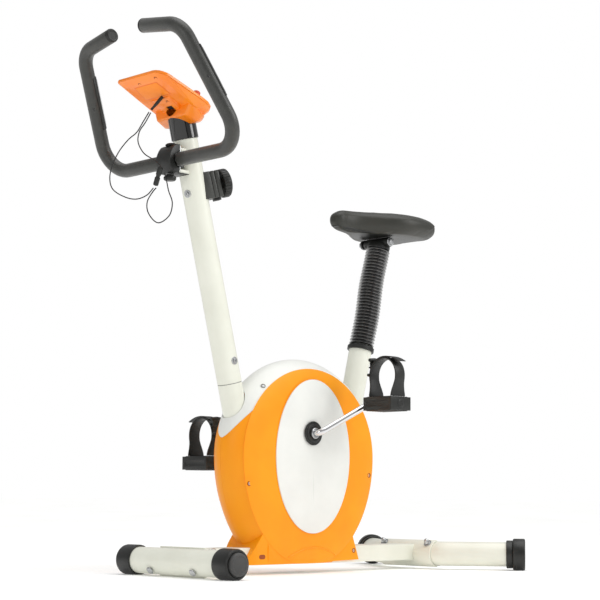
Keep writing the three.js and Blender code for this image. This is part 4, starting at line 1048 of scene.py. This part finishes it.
def add_saddle():
    cushion = raw("saddle_pad", lofted(cushion_stations(3), 0.5))
    inflate(cushion, 5)
    smooth = cushion.modifiers.new("smooth", "SUBSURF")
    smooth.levels = 1
    settle(cushion)
    dress(cushion, "saddle", "saddle_vinyl", ["saddle_cushion"], angle=70)
    surface_of = BVHTree.FromObject(cushion, bpy.context.evaluated_depsgraph_get())

    def laid(points, sink):
        line = []
        for point in smooth_route([Vector(p) for p in points], 10):
            spot, normal, _, _ = surface_of.find_nearest(at(*point))
            spot = spot - normal * sink
            line.append(Vector((spot.x * 1000 + MIDDLE_X, spot.y * 1000, spot.z * 1000)))
        return line

    seam = [(636, -103, 758), (650, -103, 762), (668, -100, 771), (684, -92, 783), (692, -78, 791), (696, -50, 794), (697, 0, 795)]
    seam += [(x, -y, z) for x, y, z in reversed(seam[:-1])]
    shape = bar_along(laid(seam, 0.0003), 1.3, sides=12, round_ends=1)
    piece("saddle_piping", shape, "saddle", "saddle_vinyl", material=PIPING, angle=60)
    outline = flare_points()
    stations = []
    for k in range(31):
        x = NOSE_X + 14 + (REAR_X - NOSE_X - 26) * k / 30
        low = between([(NOSE_X, 760), (450, 756), (500, 750.6), (540, 749.8), (REAR_X, 750)], x)
        half = max(between(outline, x) * 0.72 - 4, 3)
        ends = min(k + 0.4, 30.4 - k, 2) / 2
        top = between([(NOSE_X, 769), (450, 766), (500, 761), (540, 759), (REAR_X, 759)], x)
        stations.append((x, half * (0.8 + 0.2 * ends), low + 3 * (1 - ends), top))
    pan = raw("saddle_base", lofted(stations, 0.4))
    dress(pan, "saddle", "black_plastic", ["saddle_pan"], angle=50)


PIPING = surface("piping", "2f2f2d", "3d3d3a", (0.4, 0.5), grain=900, bump=0.2)
add_saddle()


# ---------------------------------------------------------------- console
DESK_X, DESK_Z, DESK_TILT = -127, 1005, math.radians(20)
DESK_REST = [(118, 70), (136, 68), (150, 60), (159, 47), (163, 28)]
DESK_FAR = [(0, 66), (3, 69), (10, 70)] + DESK_REST
DESK_NEAR = [(0, 44), (1.5, 52), (5, 59), (10.5, 64.5), (18, 68.5), (27, 70)] + DESK_REST
DESK_EDGE = [(s, -y) for s, y in DESK_NEAR] + DESK_FAR
BUTTON_Y = -44
SCREW_PLACES = ((13.5, -44, -12.3), (18, 11.6, -12.9), (76.6, -15.7, -25.2))


def desk_point(s, y, n):
    """A place on the console: s from its forward edge, y across, n up from its face."""
    cos, sin = math.cos(DESK_TILT), math.sin(DESK_TILT)
    return Vector((DESK_X + s * cos + n * sin, y, DESK_Z - s * sin + n * cos))


def desk_box(s0, s1, y0, y1, n0, n1):
    return moved(box(s0, s1, y0, y1, n0, n1), lambda corner: desk_point(*corner))


def both_sides(points):
    return [(s, sign * y, n) for s, y, n in points for sign in (-1, 1)]


def hull(name, points, round_by=0.0, segments=3):
    """The convex shape round points of the console."""
    mesh = bpy.data.meshes.new(name)
    shape = bmesh.new()
    for point in points:
        shape.verts.new(at(*desk_point(*point)))
    result = bmesh.ops.convex_hull(shape, input=shape.verts)
    spare = [item for item in result["geom_interior"] if isinstance(item, bmesh.types.BMVert)]
    bmesh.ops.delete(shape, geom=spare, context="VERTS")
    bmesh.ops.dissolve_limit(shape, angle_limit=0.02, verts=shape.verts, edges=shape.edges)
    bmesh.ops.recalc_face_normals(shape, faces=shape.faces)
    shape.to_mesh(mesh)
    shape.free()
    made = bpy.data.objects.new(name, mesh)
    bpy.context.collection.objects.link(made)
    if round_by:
        rounded(made, round_by, segments, 15)
    return made


def add_console():
    shallow = both_sides([(12, 50, -12), (18, 56, -13), (60, 60, -19), (118, 60, -24), (150, 40, -24)])
    back = hull("console_case", [(s, y, -7.3) for s, y in DESK_EDGE] + shallow, 1.2)
    socket = both_sides([(66, 28, -17), (66, 24, -23), (102, 26, -30), (106, 30, -19), (84, 26, -12)])
    carve(back, hull("socket", socket, 2), "UNION")
    lobe = [(100, 60, -16), (104, 44, -44), (136, 50, -45), (153, 40, -34), (158, 40, -16), (140, 58, -30), (130, 40, -10)]
    carve(back, hull("lobe", both_sides(lobe), 3.5, 4), "UNION")
    low, high = post_point(880), post_point(960)
    carve(back, raw("stem_room", lathe(low, high, [(0, 0), (28.3, 0), (28.3, (high - low).length), (0, (high - low).length)], 64)))
    carve(back, raw("port", desk_box(88, 101, -15, 3, -60, -24)))
    dress(back, "frame", "console_orange", ["console_back"], angle=28)
    face = [(s, y, n) for s, y in DESK_EDGE for n in (-6.9, -1.5)]
    face += [(1.5 + s * 0.98, y * 0.978, 0) for s, y in DESK_EDGE]
    front = hull("console_front", face, 0.8)
    hump = both_sides([(108, 58, -2), (152, 34, -2), (116, 46, 9), (144, 28, 9), (136, 54, 4), (120, 20, -4)])
    carve(front, hull("hump", hump, 3), "UNION")
    carve(front, raw("screen_room", desk_box(18, 98, -46, 46, -20, 20)))
    button_room = lathe(desk_point(118, BUTTON_Y, -30), desk_point(118, BUTTON_Y, 30), [(0, 0), (8.2, 0), (8.2, 60), (0, 60)], 48)
    carve(front, raw("button_room", button_room))
    dress(front, "frame", "console_orange", ["console_face"], angle=28)
    screen = raw("display_glass", desk_box(18.3, 97.7, -45.7, 45.7, -6.5, -1.2))
    rounded(screen, 0.6)
    dress(screen, "frame", "screen_dark", ["console_screen"])
    button = [(0, 0), (7.6, 0), (7.6, 18.6), (7.2, 20), (5.6, 21.6), (3, 22.4), (0, 22.6)]
    shape = lathe(desk_point(118, BUTTON_Y, -4), desk_point(118, BUTTON_Y, 30), button, 48)
    piece("reset_button", shape, "start_button", "button_red", ["console_button"])
    for number, (s, y, n) in enumerate(SCREW_PLACES):
        start, towards = desk_point(s, y, n + 1.5), desk_point(s, y, n - 20)
        # The console's countersinks and its screw heads are both in the painted shade colour.
        sink = lathe(start, towards, [(2.9, 0), (4.2, 0), (4.2, 1.5), (3.7, 1.8), (2.9, 1.2)], 32)
        piece(f"console_sink_{number}", sink, "frame", "console_orange", material=RECESS_SHADE)
        head = lathe(start, towards, [(0, 0), (2.8, 0), (2.8, 0.8), (1.2, 1.2), (0, 0.8)], 24)
        piece(f"console_screw_{number}", head, "frame", "steel_zinc", material=RECESS_SHADE)
    door = both_sides([(24, 34, -13.4), (60, 38, -18.6), (24, 34, -14.6), (60, 38, -19.8)])
    dress(hull("battery_door", door, 0.5), "frame", "console_orange", material=PALE_ORANGE)
    # A darker orange band just round the door: painted shade of the door's seam.
    line = both_sides([(22.4, 35.8, -13), (61.6, 39.8, -18.6), (22.4, 35.8, -13.9), (61.6, 39.8, -19.4)])
    dress(hull("battery_seam_shade", line, 0.3), "frame", "console_orange", material=DOOR_SEAM_SHADE)
    # A near-black sheet at the back of the port recess: painted shade of the opening.
    port = desk_box(88.4, 100.6, -14.6, 2.6, -26.5, -23)
    piece("console_port_shade", port, "frame", "console_orange", material=PORT_SHADE, round_by=0.4)


def add_stem():
    low, high = post_point(889), post_point(938)
    piece("stem_sleeve", tube_between(low, high, 28, 26.2, 1), "frame", "black_gloss", ["console_stem"])


PALE_ORANGE = surface("pale_orange", "fb8a1c", "fd9426", (0.35, 0.5), level=0.35, grain=1800, bump=0.15)
add_console()
add_stem()


# ---------------------------------------------------------------- tension control
DIAL_Z, DIAL_TURN, DIAL_REACH = 790, math.radians(20), 28
DIAL_AXIS = Vector((math.cos(DIAL_TURN), -math.sin(DIAL_TURN), 0.262)).normalized()
DIAL_SIDE = Vector((0, 0, -1)).cross(DIAL_AXIS).normalized()
DIAL_UP = DIAL_SIDE.cross(DIAL_AXIS)


def dial_point(side, out, up):
    return post_point(DIAL_Z) + DIAL_AXIS * (POST_RADIUS + out) + DIAL_SIDE * side + DIAL_UP * up


def dial_block(half_width, half_height, near, far):
    shape = box(-half_width, half_width, near, far, -half_height, half_height)
    return moved(shape, lambda corner: dial_point(*corner))


def ribbed(start, towards, profile, limit, ribs, depth):
    """A turned shape with narrow grooves across the parts wider than the limit."""
    sides = ribs * 6
    start = Vector(start)
    direction = (Vector(towards) - start).normalized()
    corners, faces = lathe(start, towards, profile, sides)
    for i, corner in enumerate(corners):
        radius, distance = profile[i // sides]
        if radius > limit and i % 6 < 2:
            corners[i] = corner + (start + direction * distance - corner).normalized() * depth
    return corners, faces


def add_dial():
    steps = [(20, 28, -14, 7), (18.8, 26.6, 6, 9.6), (20, 28, 9, 17), (18.6, 26.4, 16, 19.6), (20, 28, 19, DIAL_REACH)]
    room = (post_point(700), post_point(900), [(0, 0), (25.8, 0), (25.8, 220), (0, 220)], 64)
    for number, step in enumerate(steps):
        block = raw(f"dial_bracket_{number}", dial_block(*step))
        carve(block, raw("post_room", lathe(*room)))
        rounded(block, 1.2)
        dress(block, "frame", "black_plastic", ["tension_bracket"] if number == 0 else (), material=BRACKET_GREY_HIGHLIGHT)
    lug = raw("dial_lug", dial_block(8, 3, 12, 26))
    lug.location = (DIAL_UP * -0.0302).to_tuple()
    rounded(lug, 0.8)
    dress(lug, "frame", "black_plastic")
    profile = [(0, 0), (12, 0), (12, 5), (28.6, 5), (29.6, 6), (30, 8), (30, 18), (29, 20), (26, 22), (23, 23.4), (20, 24), (0, 24)]
    shape = ribbed(dial_point(0, DIAL_REACH + 0.3, 0), dial_point(0, 90, 0), profile, 27, 30, 1.1)
    piece("tension_wheel", shape, "tension_dial", "black_plastic", ["tension_knob"], angle=30)


# Dark grey for the tension bracket, lighter than the other black plastic, partly as painted highlight of its lit faces.
BRACKET_GREY_HIGHLIGHT = surface("bracket_grey_highlight", "30312e", "3c3d39", (0.35, 0.5), coat=0.15, grain=1500, bump=0.2)
add_dial()


# ---------------------------------------------------------------- floor and light
def add_lamp(name, kind, place, target, size, energy):
    data = bpy.data.lights.new(name, kind)
    data.energy = energy
    if kind == "AREA":
        data.shape = "SQUARE"
        data.size = size
    else:
        data.angle = math.radians(size)
    lamp = bpy.data.objects.new(name, data)
    bpy.context.collection.objects.link(lamp)
    lamp.location = place
    lamp.rotation_euler = (Vector(target) - Vector(place)).to_track_quat("-Z", "Y").to_euler()


WORLD_LIGHT = 0.48


def add_studio():
    mesh = bpy.data.meshes.new("floor")
    reach = 40
    mesh.from_pydata([(-reach, -reach, 0), (reach, -reach, 0), (reach, reach, 0), (-reach, reach, 0)], [], [(0, 1, 2, 3)])
    floor = bpy.data.objects.new("floor", mesh)
    bpy.context.collection.objects.link(floor)
    paper = surface("floor", "f8f8f6", "ffffff", (0.9, 1.0), level=0.1, grain=40, bump=0.01, patch=2)
    paper.node_tree.nodes["Principled BSDF"].inputs["Emission Color"].default_value = (1, 1, 1, 1)
    paper.node_tree.nodes["Principled BSDF"].inputs["Emission Strength"].default_value = 0.14
    floor.data.materials.append(paper)
    world = bpy.data.worlds.new("studio")
    world.use_nodes = True
    nodes, links = world.node_tree.nodes, world.node_tree.links
    backdrop = nodes["Background"]
    backdrop.inputs["Color"].default_value = (1, 1, 1, 1)
    seen = nodes.new("ShaderNodeLightPath")
    brightness = nodes.new("ShaderNodeMapRange")
    brightness.inputs["To Min"].default_value = WORLD_LIGHT
    brightness.inputs["To Max"].default_value = 1.0
    links.new(seen.outputs["Is Camera Ray"], brightness.inputs["Value"])
    links.new(brightness.outputs["Result"], backdrop.inputs["Strength"])
    bpy.context.scene.world = world
    bpy.context.scene.view_settings.view_transform = "Standard"
    add_lamp("key", "AREA", (1.2, -2.4, 1.9), (0, 0, 0.4), 1.2, 27)
    add_lamp("fill", "AREA", (-2.6, -0.6, 1.2), (0, 0, 0.5), 0.8, 5)
    add_lamp("sky", "SUN", (0.2, -0.4, 3.0), (0, 0, 0.3), 60, 1.35)


add_studio()
